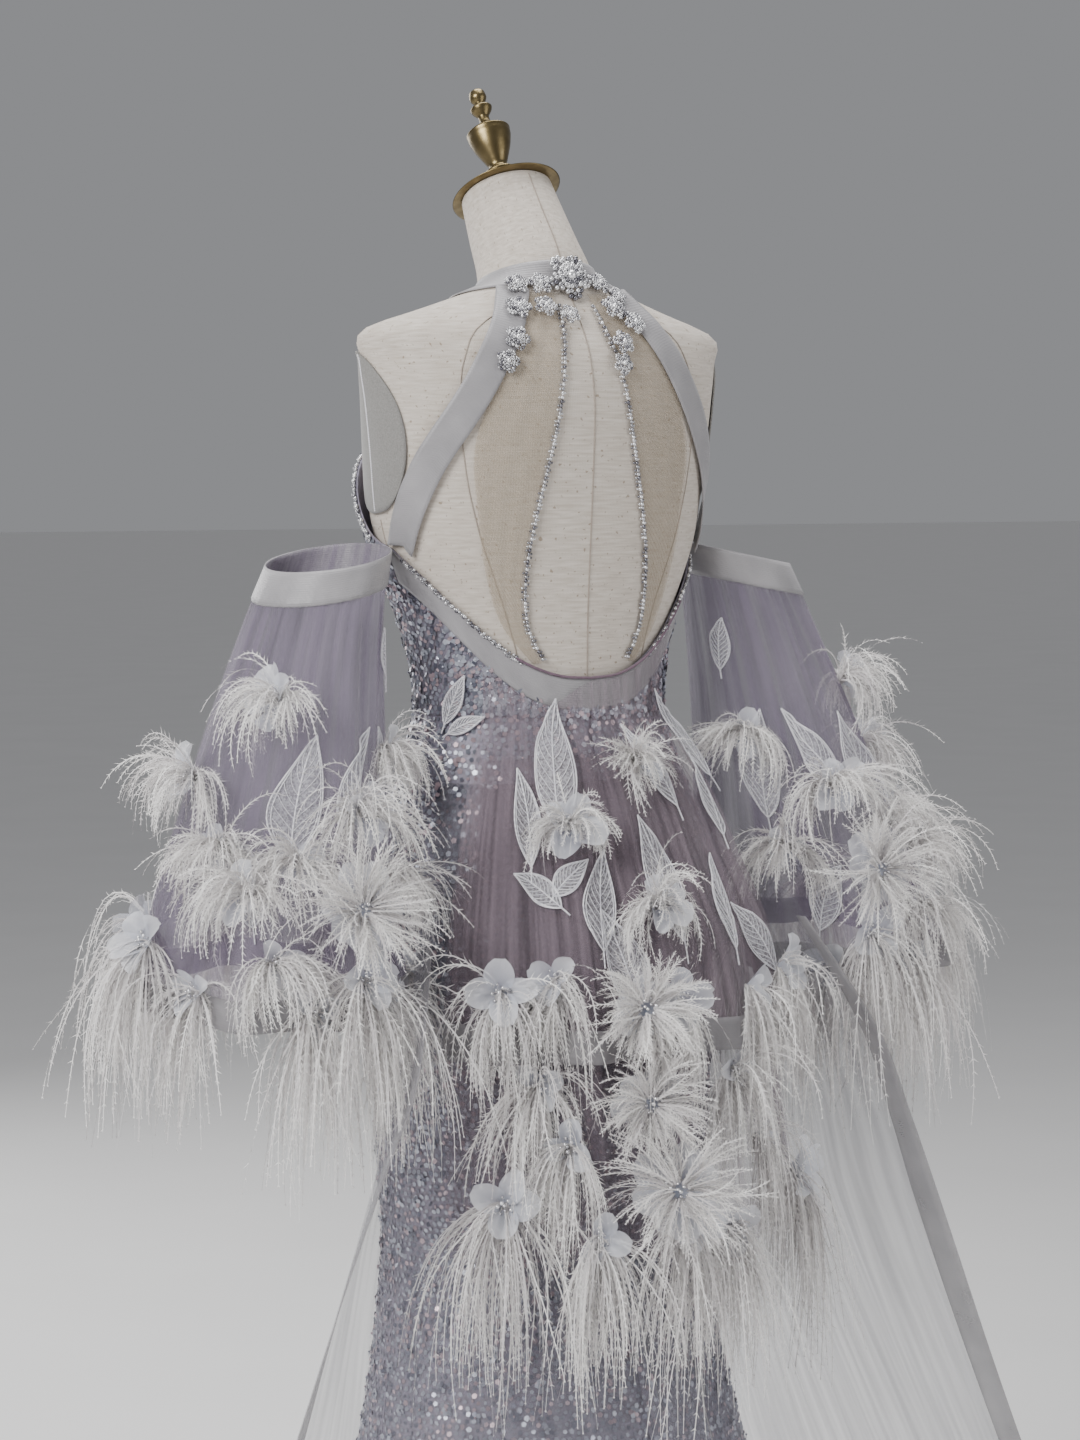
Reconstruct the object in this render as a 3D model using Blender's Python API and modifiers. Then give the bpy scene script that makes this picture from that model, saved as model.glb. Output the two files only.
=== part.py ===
"""Evening dress on a dress form: a halter gown with a sequinned sheath skirt, off-shoulder
tulle sleeves, a two-tier tulle cape at the back and a split tulle train, trimmed with feathers.

Metres, +Z up. The origin is the middle of the stand's underside, on the floor.
The front faces -Y and the wearer's left is +X. Angles round the body are in degrees:
0 is the wearer's left side, 90 the centre back, 180 the right side, 270 the centre front.
"""

import math
import random

import bmesh
import bpy
from mathutils import Matrix, Vector
from mathutils.bvhtree import BVHTree

COLLECTION = "evening_dress_on_form"

# Clearances and wall thicknesses
SEAM_GAP = 0.0004
PLATE_OUT = 0.0012
PLATE_WALL = 0.0016
MESH_OUT = 0.0015
MESH_WALL = 0.0010
CLOTH_OUT = 0.0020
CLOTH_WALL = 0.0014
STRAP_OUT = 0.0031
STRAP_WALL = 0.0012
BAND_OUT = 0.0042
BAND_WALL = 0.0012
NECK_BAND_OUT = 0.0009
TULLE_WALL = 0.0010

# The dress form, from its lower edge to the top of its neck, which leans forward.
# level, centre y, half width, front depth, back depth, tilt in degrees, sharpness of the sides
FORM_ROWS = (
    (0.720, 0.005, 0.150, 0.100, 0.105, 0, 0.95),
    (0.780, 0.005, 0.160, 0.105, 0.115, 0, 0.95),
    (0.850, 0.005, 0.166, 0.105, 0.117, 0, 0.95),
    (0.920, 0.003, 0.155, 0.098, 0.108, 0, 0.95),
    (0.980, 0.000, 0.134, 0.090, 0.094, 0, 0.95),
    (1.030, 0.000, 0.120, 0.084, 0.081, 0, 0.92),
    (1.070, 0.000, 0.121, 0.087, 0.080, 0, 0.90),
    (1.120, 0.000, 0.133, 0.099, 0.081, 0, 0.88),
    (1.180, 0.000, 0.155, 0.115, 0.085, 0, 0.86),
    (1.220, 0.000, 0.163, 0.120, 0.088, 0, 0.86),
    (1.265, 0.000, 0.170, 0.109, 0.091, 0, 0.90),
    (1.310, 0.000, 0.178, 0.086, 0.092, 0, 0.98),
    (1.345, 0.002, 0.186, 0.062, 0.083, 3, 1.15),
    (1.372, 0.004, 0.188, 0.045, 0.067, 5, 1.35),
    (1.393, 0.001, 0.126, 0.047, 0.054, 9, 1.20),
    (1.404, -0.002, 0.090, 0.050, 0.049, 13, 1.05),
    (1.415, -0.006, 0.061, 0.050, 0.048, 18, 1.00),
    (1.432, -0.014, 0.052, 0.048, 0.047, 24, 1.00),
    (1.468, -0.037, 0.047, 0.045, 0.044, 28, 1.00),
    (1.503, -0.058, 0.043, 0.042, 0.041, 29, 1.00),
)
FORM_LEVELS = (
    0.720, 0.780, 0.850, 0.915, 0.975, 1.030, 1.080, 1.130, 1.180, 1.225, 1.268, 1.310,
    1.345, 1.372, 1.383, 1.393, 1.404, 1.4125, 1.421, 1.436, 1.468, 1.503,
)
FORM_SIDES = 32
NECK_TOP = FORM_ROWS[-1]
NECK_LEAN = math.radians(NECK_TOP[5])

# The cap and the turned finial on the neck, radius and height along the neck's axis
CAP_PROFILE = (
    (0.0000, 0.0125), (0.0160, 0.0120), (0.0300, 0.0098), (0.0405, 0.0062),
    (0.0450, 0.0030), (0.0452, 0.0006), (0.0000, 0.0006),
)
FINIAL_PROFILE = (
    (0.0000, 0.1150), (0.0052, 0.1135), (0.0078, 0.1085), (0.0070, 0.1030), (0.0046, 0.0990),
    (0.0090, 0.0960), (0.0098, 0.0925), (0.0070, 0.0880), (0.0050, 0.0840), (0.0056, 0.0790),
    (0.0120, 0.0735), (0.0190, 0.0690), (0.0202, 0.0655), (0.0185, 0.0560), (0.0140, 0.0440),
    (0.0100, 0.0350), (0.0085, 0.0290), (0.0145, 0.0250), (0.0150, 0.0215), (0.0120, 0.0190),
    (0.0190, 0.0165), (0.0195, 0.0132), (0.0000, 0.0132),
)

# The stand under the form
POLE_RADIUS = 0.016
BASE_RADIUS = 0.190
BASE_PROFILE = (
    (0.0165, 0.060), (0.0230, 0.060), (0.0260, 0.050), (0.0300, 0.034), (0.0600, 0.027),
    (0.1500, 0.021), (0.1830, 0.017), (BASE_RADIUS, 0.010), (BASE_RADIUS, 0.000), (0.0165, 0.000),
)

# The edge of the open back: degrees from the centre back, level
BACK_EDGE_ROWS = (
    (0, 1.063), (15, 1.066), (30, 1.078), (45, 1.100), (60, 1.130), (75, 1.160), (90, 1.182),
)
BACK_BAND_WIDTH = 0.030

# The top edge of the front bodice: degrees from the centre front, level
FRONT_EDGE_ROWS = (
    (0, 1.208), (15, 1.228), (32, 1.262), (50, 1.262), (66, 1.232), (80, 1.196), (90, 1.182),
)
CUP_STAND = 0.010
WAIST_LEVEL = 1.030

# The sheath skirt from the waist to the floor: level, centre y, half width, front, back
SKIRT_ROWS = (
    (0.003, 0.060, 0.300, 0.290, 0.350),
    (0.080, 0.045, 0.262, 0.245, 0.290),
    (0.180, 0.030, 0.222, 0.200, 0.232),
    (0.345, 0.012, 0.178, 0.150, 0.186),
    (0.530, 0.003, 0.152, 0.118, 0.132),
    (0.640, 0.003, 0.158, 0.114, 0.124),
    (0.720, 0.005, 0.1625, 0.1090, 0.1190),
    (0.780, 0.005, 0.1630, 0.1080, 0.1180),
    (0.850, 0.005, 0.1672, 0.1062, 0.1182),
)
SKIRT_BLEND = 0.850
SKIRT_LEVELS = (
    0.003, 0.120, 0.230, 0.345, 0.435, 0.530, 0.640, 0.745, 0.850, 0.910, 0.970, 1.0295,
)

# The neck band, its flowers and the straps
NECK_BAND_LEVELS = (1.404, 1.4125, 1.421)
FLOWER_RADIUS = 0.019
FLOWER_PETALS = 5
FLOWER_LEVEL = 1.4080
FLOWER_OUT = 0.0032
FLOWER_WALL = 0.0025
SPRAY_LEVELS = (1.338, 1.396)
SPRAY_ACROSS = (0.062, 0.034)
SPRAY_HALF = 0.010
SPRAY_OUT = 0.0060
STRAP_WIDTH = 0.030
# level, distance from the middle of the back
STRAP_ROWS = (
    (1.1500, 0.1440), (1.1700, 0.1515), (1.1860, 0.1542), (1.2050, 0.1548), (1.2300, 0.1520),
    (1.2600, 0.1430), (1.2965, 0.1240), (1.3400, 0.0960), (1.3750, 0.0720), (1.4010, 0.0540),
)
# Keyhole edges of the two nude mesh panels: level, inner edge, outer edge from the middle
MESH_ROWS = (
    (1.077, 0.046, 0.054), (1.110, 0.062, 0.080), (1.160, 0.066, 0.098), (1.215, 0.058, 0.108),
    (1.270, 0.046, 0.112), (1.320, 0.036, 0.096), (1.365, 0.026, 0.072), (1.397, 0.018, 0.046),
)
BEAD_RADIUS = 0.0021

# The sleeves, open bells of tulle: level, centre x, centre y, radius across, radius deep, wave
SLEEVE_ROWS = (
    (0.790, 0.300, 0.032, 0.112, 0.116, 0.0100),
    (0.860, 0.291, 0.025, 0.104, 0.106, 0.0085),
    (0.950, 0.276, 0.016, 0.089, 0.089, 0.0065),
    (1.050, 0.254, 0.006, 0.073, 0.072, 0.0040),
    (1.130, 0.232, -0.002, 0.060, 0.059, 0.0010),
    (1.172, 0.2174, -0.005, 0.0540, 0.0540, 0.0000),
)
SLEEVE_LEVELS = (0.790, 0.816, 0.890, 0.970, 1.060, 1.142, 1.172)
SLEEVE_SIDES = 28
SLEEVE_WAVES = 7
SLEEVE_SLOPE = 0.20
SLEEVE_PITCH = 0.10

# The two tiers of the back cape, as they stand off the sheath:
# level, stand-off at the sides, stand-off at the back, wave
UPPER_TIER_ROWS = (
    (0.740, 0.046, 0.100, 0.0080),
    (0.820, 0.031, 0.080, 0.0068),
    (0.900, 0.018, 0.050, 0.0050),
    (0.980, 0.0145, 0.0330, 0.0030),
    (1.030, 0.0080, 0.0110, 0.0010),
    (1.090, 0.0043, 0.0043, 0.0000),
    (1.160, 0.0043, 0.0043, 0.0000),
)
LOWER_TIER_ROWS = (
    (0.570, 0.066, 0.106, 0.0070),
    (0.650, 0.054, 0.095, 0.0060),
    (0.740, 0.034, 0.083, 0.0050),
    (0.820, 0.020, 0.064, 0.0045),
    (0.900, 0.012, 0.040, 0.0030),
    (0.970, 0.0085, 0.0170, 0.0008),
    (0.995, 0.0046, 0.0046, 0.0000),
)
LOWER_TIER_LEVELS = (0.570, 0.650, 0.740, 0.820, 0.900, 0.970, 0.995)
UPPER_TIER_HEIGHTS = (0.0, 0.095, 0.28, 0.50, 0.75, 1.0)
CAPE_WAVES = 20
CAPE_START = 40.5
CAPE_COLUMNS = 22

# The train, two tulle panels that lap at the centre back.
# level, back y, bulge x, bulge y, fold x, fold y, edge x, edge y
TRAIN_ROWS = (
    (0.003, 0.560, 0.250, 0.560, 0.400, 0.350, 0.560, 0.205),
    (0.200, 0.385, 0.200, 0.385, 0.300, 0.220, 0.470, 0.202),
    (0.396, 0.250, 0.180, 0.255, 0.240, 0.100, 0.386, 0.200),
    (0.570, 0.183, 0.160, 0.200, 0.200, 0.000, 0.316, 0.198),
    (0.660, 0.168, 0.150, 0.188, 0.195, -0.010, 0.278, 0.198),
    (0.740, 0.152, 0.140, 0.175, 0.190, -0.020, 0.243, 0.195),
    (0.850, 0.134, 0.120, 0.152, 0.175, 0.010, 0.195, 0.135),
    (0.960, 0.1080, 0.095, 0.108, 0.140, 0.050, 0.149, 0.066),
)
TRAIN_LEVELS = (0.003, 0.120, 0.240, 0.360, 0.470, 0.570, 0.660, 0.740, 0.850, 0.915, 0.970)
TRAIN_SEAT_LEVEL = 0.900
TRAIN_SEAT_SLOPE = 0.09
TRAIN_TOP_TURN = 66
TRAIN_LAP = 0.020
TRAIN_LAYER = 0.0070

STRAND_STEPS = 3
STRAND_NARROWS = (0.34, 0.60, 0.35)
TUFT_RADIUS = 0.0095
TUFT_FLAT = 0.42
TUFT_SEAT = 0.0007
TUFT_SEED = 5
# Feather flowers on each sleeve: level, fold crest counted from the outer side, reach, fall, lift
SLEEVE_TUFTS = (
    (1.060, 1.0, 0.050, 0.050, 0.030),
    (0.990, 0.0, 0.060, 0.050, 0.040),
    (0.960, 2.0, 0.055, 0.060, 0.040),
    (0.900, 1.0, 0.060, 0.055, 0.045),
    (0.850, 0.0, 0.050, 0.150, 0.045),
    (0.830, 2.0, 0.045, 0.150, 0.075),
    (0.840, 6.0, 0.050, 0.160, 0.040),
)
# Feather flowers on the cape: level, fold crest counted from the left side, reach, fall, lift
CAPE_TUFTS = (
    (0.935, 4.0, 0.040, 0.020, 0.070),
    (0.865, 5.0, 0.050, 0.025, 0.065),
    (0.800, 3.0, 0.050, 0.080, 0.050),
    (0.800, 7.0, 0.050, 0.080, 0.050),
    (0.790, 5.0, 0.045, 0.080, 0.030),
    (0.620, 3.0, 0.050, 0.170, 0.055),
    (0.600, 5.0, 0.055, 0.150, 0.060),
    (0.620, 7.0, 0.050, 0.170, 0.055),
)


def row_at(rows, key):
    """Every column of a table at a key, on a smooth curve through its rows."""
    last = len(rows) - 1
    i = 0
    while i < last - 1 and key > rows[i + 1][0]:
        i += 1
    low, high = rows[i], rows[i + 1]
    before, after = rows[max(i - 1, 0)], rows[min(i + 2, last)]
    span = high[0] - low[0]
    t = min(max((key - low[0]) / span, 0.0), 1.0)
    found = []
    for k in range(len(low)):
        slope_low = (high[k] - before[k]) / (high[0] - before[0]) * span
        slope_high = (after[k] - low[k]) / (after[0] - low[0]) * span
        found.append(
            low[k] * (1 + 2 * t) * (1 - t) ** 2
            + slope_low * t * (1 - t) ** 2
            + high[k] * t * t * (3 - 2 * t)
            - slope_high * t * t * (1 - t)
        )
    return found


def signed_power(value, power):
    return math.copysign(abs(value) ** power, value)


def form_ring(level, degrees):
    """A point of the dress form's surface."""
    _, centre, wide, front, back, tilt, sharp = row_at(FORM_ROWS, level)
    angle = math.radians(degrees)
    depth = back if math.sin(angle) > 0 else front
    deep = depth * signed_power(math.sin(angle), sharp)
    lean = math.radians(tilt)
    return Vector((
        wide * math.cos(angle),
        centre + deep * math.cos(lean),
        level + deep * math.sin(lean),
    ))


def outward(ring, level, degrees):
    """The surface's outward direction at a point of a ring function."""
    around = ring(level, degrees + 1) - ring(level, degrees - 1)
    upward = ring(level + 0.002, degrees) - ring(level - 0.002, degrees)
    return around.cross(upward).normalized()


def form_point(level, degrees, out=0.0):
    return form_ring(level, degrees) + outward(form_ring, level, degrees) * out


def skirt_ring(level, degrees):
    """The sheath: the form's own surface at the hips, its flared sections below them."""
    if level >= SKIRT_BLEND:
        return form_ring(level, degrees)
    _, centre, wide, front, back = row_at(SKIRT_ROWS, level)
    angle = math.radians(degrees)
    depth = back if math.sin(angle) > 0 else front
    deep = depth * signed_power(math.sin(angle), 0.95)
    return Vector((wide * math.cos(angle), centre + deep, level))


def back_angle(level, across):
    """Degrees round the form of a place on the back, from its distance to the middle."""
    wide = row_at(FORM_ROWS, level)[2]
    return math.degrees(math.acos(max(-1.0, min(1.0, across / wide))))


def back_edge(degrees):
    return row_at(BACK_EDGE_ROWS, min(abs(degrees - 90), 90))[1]


def front_edge(degrees):
    return row_at(FRONT_EDGE_ROWS, min(abs(degrees - 270), 90))[1]


def mix(low, high, share):
    return low + (high - low) * share


def material(name, colour, roughness, metallic=0.0):
    """A plain finish in the piece's own colour, given as an sRGB hex value."""
    finish = bpy.data.materials.new(name)
    finish.use_nodes = True
    shader = finish.node_tree.nodes["Principled BSDF"]
    parts = [int(colour[i:i + 2], 16) / 255 for i in (0, 2, 4)]
    linear = [p / 12.92 if p <= 0.04045 else ((p + 0.055) / 1.055) ** 2.4 for p in parts]
    shader.inputs["Base Color"].default_value = (*linear, 1.0)
    shader.inputs["Roughness"].default_value = roughness
    shader.inputs["Metallic"].default_value = metallic
    return finish


def clear_scene():
    for obj in list(bpy.data.objects):
        bpy.data.objects.remove(obj, do_unlink=True)


def add_object(name, bm, finish, smooth=True):
    """A new object in the dress's collection, from a bmesh that is freed here."""
    mesh = bpy.data.meshes.new(name)
    bm.to_mesh(mesh)
    bm.free()
    mesh.materials.append(finish)
    if smooth:
        mesh.shade_smooth()
    obj = bpy.data.objects.new(name, mesh)
    bpy.data.collections[COLLECTION].objects.link(obj)
    return obj


def grid(columns, rows, place, joined=False):
    """A sheet of faces: place gives each corner's position from its shares across and up."""
    bm = bmesh.new()
    bmesh.ops.create_grid(bm, x_segments=columns, y_segments=rows, size=0.5)
    for vert in bm.verts:
        vert.co = place(vert.co.x + 0.5, vert.co.y + 0.5)
    if joined:
        bmesh.ops.remove_doubles(bm, verts=bm.verts, dist=1e-6)
    return bm


def sheet(name, columns, rows, place, thickness, finish, joined=False):
    """A cloth wall whose inner side lies where place says."""
    obj = add_object(name, grid(columns, rows, place, joined), finish)
    wall = obj.modifiers.new("wall", "SOLIDIFY")
    wall.thickness = thickness
    wall.offset = 1.0
    return obj


def turned(name, profile, finish, sides=24, axis=None):
    """A turned piece from a profile that runs down its outer side."""
    bm = bmesh.new()
    verts = [bm.verts.new((radius, 0.0, height)) for radius, height in profile]
    for a, b in zip(verts, verts[1:]):
        bm.edges.new((a, b))
    if profile[0][0] > 0:
        bm.edges.new((verts[-1], verts[0]))
    obj = add_object(name, bm, finish)
    if axis is not None:
        obj.matrix_world = axis
    screw = obj.modifiers.new("turn", "SCREW")
    screw.steps = sides
    screw.render_steps = sides
    screw.use_merge_vertices = True
    screw.merge_threshold = 1e-5
    screw.use_smooth_shade = True
    return obj


def loop_tube(name, points, radius, finish, sides_level=1):
    """A round bead string or piping along a list of points."""
    curve = bpy.data.curves.new(name, "CURVE")
    curve.dimensions = "3D"
    curve.bevel_depth = radius
    curve.bevel_resolution = sides_level
    curve.use_fill_caps = True
    spline = curve.splines.new("POLY")
    spline.points.add(len(points) - 1)
    for knot, point in zip(spline.points, points):
        knot.co = (*point, 1.0)
    curve.materials.append(finish)
    obj = bpy.data.objects.new(name, curve)
    bpy.data.collections[COLLECTION].objects.link(obj)
    return obj


def build_torso(linen):
    """The padded torso with its leaning neck, closed at the hips and at the top."""
    count = len(FORM_LEVELS) - 1

    def place(across, up):
        return form_ring(FORM_LEVELS[round(up * count)], across * 360)

    bm = grid(FORM_SIDES, count, place, joined=True)
    bmesh.ops.holes_fill(bm, edges=bm.edges, sides=0)
    bmesh.ops.recalc_face_normals(bm, faces=bm.faces)
    add_object("form_torso", bm, linen)


def build_arm_plate(name, side, felt):
    """An oval felt plate over the armhole end of the form."""
    def place(across, up):
        x = 2 * across - 1
        y = 2 * up - 1
        round_x = x * math.sqrt(1 - y * y / 2)
        round_y = y * math.sqrt(1 - x * x / 2)
        level = 1.283 + 0.072 * round_y
        degrees = (-6 if side > 0 else 186) + 27 * round_x
        return form_point(level, degrees, PLATE_OUT)

    sheet(name, 7, 7, place, PLATE_WALL, felt)


def build_stand(brass, steel):
    """The brass cap and finial on the leaning neck, and the pole and round base below."""
    top = Vector((0.0, NECK_TOP[1], NECK_TOP[0]))
    axis = Matrix.Translation(top) @ Matrix.Rotation(NECK_LEAN, 4, "X")
    turned("form_neck_cap", CAP_PROFILE, brass, 24, axis)
    turned("form_finial", FINIAL_PROFILE, brass, 12, axis)
    pole = bmesh.new()
    length = FORM_LEVELS[0] - SEAM_GAP
    place = Matrix.Translation((0, 0, length / 2))
    bmesh.ops.create_cone(
        pole, cap_ends=True, segments=16, radius1=POLE_RADIUS, radius2=POLE_RADIUS,
        depth=length, matrix=place,
    )
    add_object("stand_pole", pole, steel)
    turned("stand_base", BASE_PROFILE, steel, 24)


def build_bodice(sequin):
    """The close-fitting bodice: a front with standing cups, and two backs cut low."""
    def front(across, up):
        degrees = 180.25 + 179.5 * across
        level = mix(WAIST_LEVEL, front_edge(degrees), up)
        towards_front = math.sin(math.radians(degrees - 180))
        stand = CUP_STAND * up ** 2 * towards_front ** 0.5
        return form_point(level, degrees, CLOTH_OUT + stand)

    sheet("bodice_front", 18, 4, front, CLOTH_WALL, sequin)
    for name, start in (("bodice_back_left", 0.25), ("bodice_back_right", 90.2)):
        def back(across, up, start=start):
            degrees = start + 89.5 * across
            level = mix(WAIST_LEVEL, back_edge(degrees), up)
            return form_point(level, degrees, CLOTH_OUT)

        sheet(name, 9, 3, back, CLOTH_WALL, sequin)


def build_skirt(sequin):
    """The fit-and-flare sheath skirt: one front and two backs."""
    count = len(SKIRT_LEVELS) - 1
    for name, start, turn, columns in (
        ("skirt_front", 180.2, 179.6, 16),
        ("skirt_back_left", 0.2, 89.7, 8),
        ("skirt_back_right", 90.1, 89.7, 8),
    ):
        def place(across, up, start=start, turn=turn):
            level = SKIRT_LEVELS[round(up * count)]
            degrees = start + turn * across
            lift = outward(skirt_ring, level, degrees)
            return skirt_ring(level, degrees) + lift * CLOTH_OUT

        sheet(name, columns, count, place, CLOTH_WALL, sequin)


def build_neck_band(ribbon):
    def place(across, up):
        return form_point(NECK_BAND_LEVELS[round(2 * up)], across * 360, NECK_BAND_OUT)

    sheet("neck_band", FORM_SIDES, 2, place, BAND_WALL, ribbon, joined=True)


def build_yoke(net):
    """The nude mesh yoke that joins the front bodice to the neck band."""
    low_half, high_half = 34, 58
    top = NECK_BAND_LEVELS[0] - 0.0016

    def place(across, up):
        half = mix(low_half, high_half, up ** 1.5)
        degrees = 270 + half * (2 * across - 1)
        low = front_edge(degrees) + 0.0025
        level = mix(low, top, up)
        return form_point(level, degrees, mix(CUP_STAND + CLOTH_OUT, 0.0016, min(1, 3 * up)))

    sheet("front_yoke", 10, 7, place, MESH_WALL, net)


def build_neck_flowers(crystal):
    """The beaded flowers at the nape: a large one in the middle and a spray at each side."""
    def blossom(across, up):
        x = 2 * across - 1
        y = 2 * up - 1
        round_x = x * math.sqrt(1 - y * y / 2)
        round_y = y * math.sqrt(1 - x * x / 2)
        radius = math.hypot(round_x, round_y)
        petals = 1 + 0.14 * math.cos(FLOWER_PETALS * math.atan2(round_y, round_x)) * radius
        level = FLOWER_LEVEL + FLOWER_RADIUS * petals * round_y * 0.8
        degrees = back_angle(level, -FLOWER_RADIUS * petals * round_x)
        return form_point(level, degrees, FLOWER_OUT)

    sheet("neck_flower_center", 8, 8, blossom, FLOWER_WALL, crystal)
    for word, side in (("left", 1), ("right", -1)):
        def spray(across, up, side=side):
            low, high = SPRAY_LEVELS
            level = mix(low, high, up)
            middle = mix(SPRAY_ACROSS[0], SPRAY_ACROSS[1], up)
            half = SPRAY_HALF * (0.35 + 0.65 * abs(math.sin(3 * math.pi * (0.08 + 0.84 * up))))
            share = 1 - across if side > 0 else across
            degrees = back_angle(level, side * (middle + half * (2 * share - 1)))
            return form_point(level, degrees, SPRAY_OUT)

        sheet("neck_flowers_" + word, 2, 12, spray, FLOWER_WALL, crystal)


def strap_place(side):
    low, high = STRAP_ROWS[0][0], STRAP_ROWS[-1][0]

    def middle(up):
        level = mix(low, high, up)
        return form_point(level, back_angle(level, side * row_at(STRAP_ROWS, level)[1]), STRAP_OUT)

    def place(across, up):
        here = middle(up)
        along = (middle(min(up + 0.02, 1)) - middle(max(up - 0.02, 0))).normalized()
        level = mix(low, high, up)
        degrees = back_angle(level, side * row_at(STRAP_ROWS, level)[1])
        sideways = along.cross(outward(form_ring, level, degrees)).normalized()
        return here + sideways * STRAP_WIDTH * (across - 0.5)

    return place


def strap_end(place, across):
    """The share of a strap's length at which it meets the band of the open back."""
    low, high = 0.0, 0.4
    for _ in range(14):
        middle = (low + high) / 2
        point = place(across, middle)
        if point.z < back_edge(back_angle(point.z, point.x)) + 2 * SEAM_GAP:
            low = middle
        else:
            high = middle
    return high


def build_straps(ribbon):
    for name, side in (("strap_left", 1), ("strap_right", -1)):
        whole = strap_place(side)

        def place(across, up, whole=whole):
            return whole(across, mix(strap_end(whole, across), 1.0, up))

        obj = add_object(name, grid(2, 20, place), ribbon)
        wall = obj.modifiers.new("wall", "SOLIDIFY")
        wall.thickness = STRAP_WALL
        wall.offset = 1.0


def build_mesh_panels(net, crystal):
    """The two nude mesh panels beside the keyhole, each edged with a bead string."""
    low, high = MESH_ROWS[0][0], MESH_ROWS[-1][0]
    for word, side in (("left", 1), ("right", -1)):
        def place(across, up, side=side):
            level = mix(low, high, up)
            _, inner, outer = row_at(MESH_ROWS, level)
            share = across if side < 0 else 1 - across
            degrees = back_angle(level, side * mix(inner, outer, share))
            return form_point(level, degrees, MESH_OUT)

        sheet("mesh_back_" + word, 3, 13, place, MESH_WALL, net)
        points = []
        for i in range(17):
            level = mix(low + 0.004, high - 0.012, i / 16)
            inner = row_at(MESH_ROWS, level)[1]
            degrees = back_angle(level, side * (inner - BEAD_RADIUS - 0.001))
            points.append(form_point(level, degrees, BEAD_RADIUS + MESH_OUT))
        loop_tube("bead_string_" + word, points, BEAD_RADIUS, crystal)


def build_back_band(ribbon):
    """The ribbon band that edges the open back."""
    def place(across, up):
        degrees = 0.25 + 179.5 * across
        level = back_edge(degrees) - BACK_BAND_WIDTH * (1 - up)
        return form_point(level, degrees, BAND_OUT)

    sheet("back_edge_band", 24, 1, place, BAND_WALL, ribbon)


def build_bust_trim(crystal):
    """The row of large crystals along the front bodice's top edge."""
    points = []
    for i in range(25):
        degrees = 190 + 160 * i / 24
        towards_front = math.sin(math.radians(degrees - 180))
        out = CLOTH_OUT + CLOTH_WALL + CUP_STAND * towards_front ** 0.5 + 0.0034
        points.append(form_point(front_edge(degrees) - 0.003, degrees, out))
    loop_tube("bust_edge_trim", points, 0.0028, crystal)


def sleeve_ring(side, level, degrees):
    """A point of a sleeve's inner wall, with its gathers growing towards the hem."""
    _, x, y, wide, deep, wave = row_at(SLEEVE_ROWS, level)
    angle = math.radians(degrees)
    swell = 1 + wave * math.cos(SLEEVE_WAVES * angle) / wide
    right = wide * swell * math.cos(angle)
    back = deep * swell * math.sin(angle)
    share = (level - SLEEVE_ROWS[0][0]) / (SLEEVE_ROWS[-1][0] - SLEEVE_ROWS[0][0])
    drop = right * SLEEVE_SLOPE * share + back * SLEEVE_PITCH
    return Vector((side * (x + right), y + back, level - drop))


def sleeve_point(side, level, degrees, out=0.0):
    def ring(lev, deg):
        return sleeve_ring(side, lev, deg)

    return ring(level, degrees) + outward(ring, level, degrees) * out * side


def sleeve_sheet(name, side, levels, out, thickness, finish):
    count = len(levels) - 1

    def place(across, up):
        return sleeve_point(side, levels[round(up * count)], side * across * 360, out)

    return sheet(name, SLEEVE_SIDES, count, place, thickness, finish, joined=True)


def build_sleeves(tulle, ribbon):
    """The off-shoulder sleeves: tulle bells with a stiff band at the top and at the hem."""
    over = TULLE_WALL + SEAM_GAP
    sleeves = {}
    for word, side in (("left", 1), ("right", -1)):
        sleeves[word] = sleeve_sheet(
            "sleeve_" + word, side, SLEEVE_LEVELS, 0.0, TULLE_WALL, tulle)
        sleeve_sheet("sleeve_band_" + word, side, SLEEVE_LEVELS[-2:], over, BAND_WALL, ribbon)
        sleeve_sheet("sleeve_hem_" + word, side, SLEEVE_LEVELS[:2], over, BAND_WALL, ribbon)
    return sleeves


def tier_point(rows, level, degrees, out=0.0):
    """A point of a cape tier's inner wall: the sheath's surface, moved out in soft folds."""
    _, side, back, wave = row_at(rows, level)
    angle = math.radians(degrees)
    stand = mix(side, back, math.sin(angle)) + wave * math.cos(CAPE_WAVES * angle) + out
    return skirt_ring(level, degrees) + Vector((math.cos(angle), math.sin(angle), 0)) * stand


def tier_outward(rows, level, degrees):
    def ring(lev, deg):
        return tier_point(rows, lev, deg)

    return outward(ring, level, degrees)


def upper_tier_level(degrees, share):
    """A height on the upper tier, whose top follows the band of the open back."""
    top = back_edge(degrees) - BACK_BAND_WIDTH - 2 * SEAM_GAP
    return mix(UPPER_TIER_ROWS[0][0], top, share)


def tier_angle(across):
    return mix(CAPE_START, 180 - CAPE_START, across)


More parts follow.
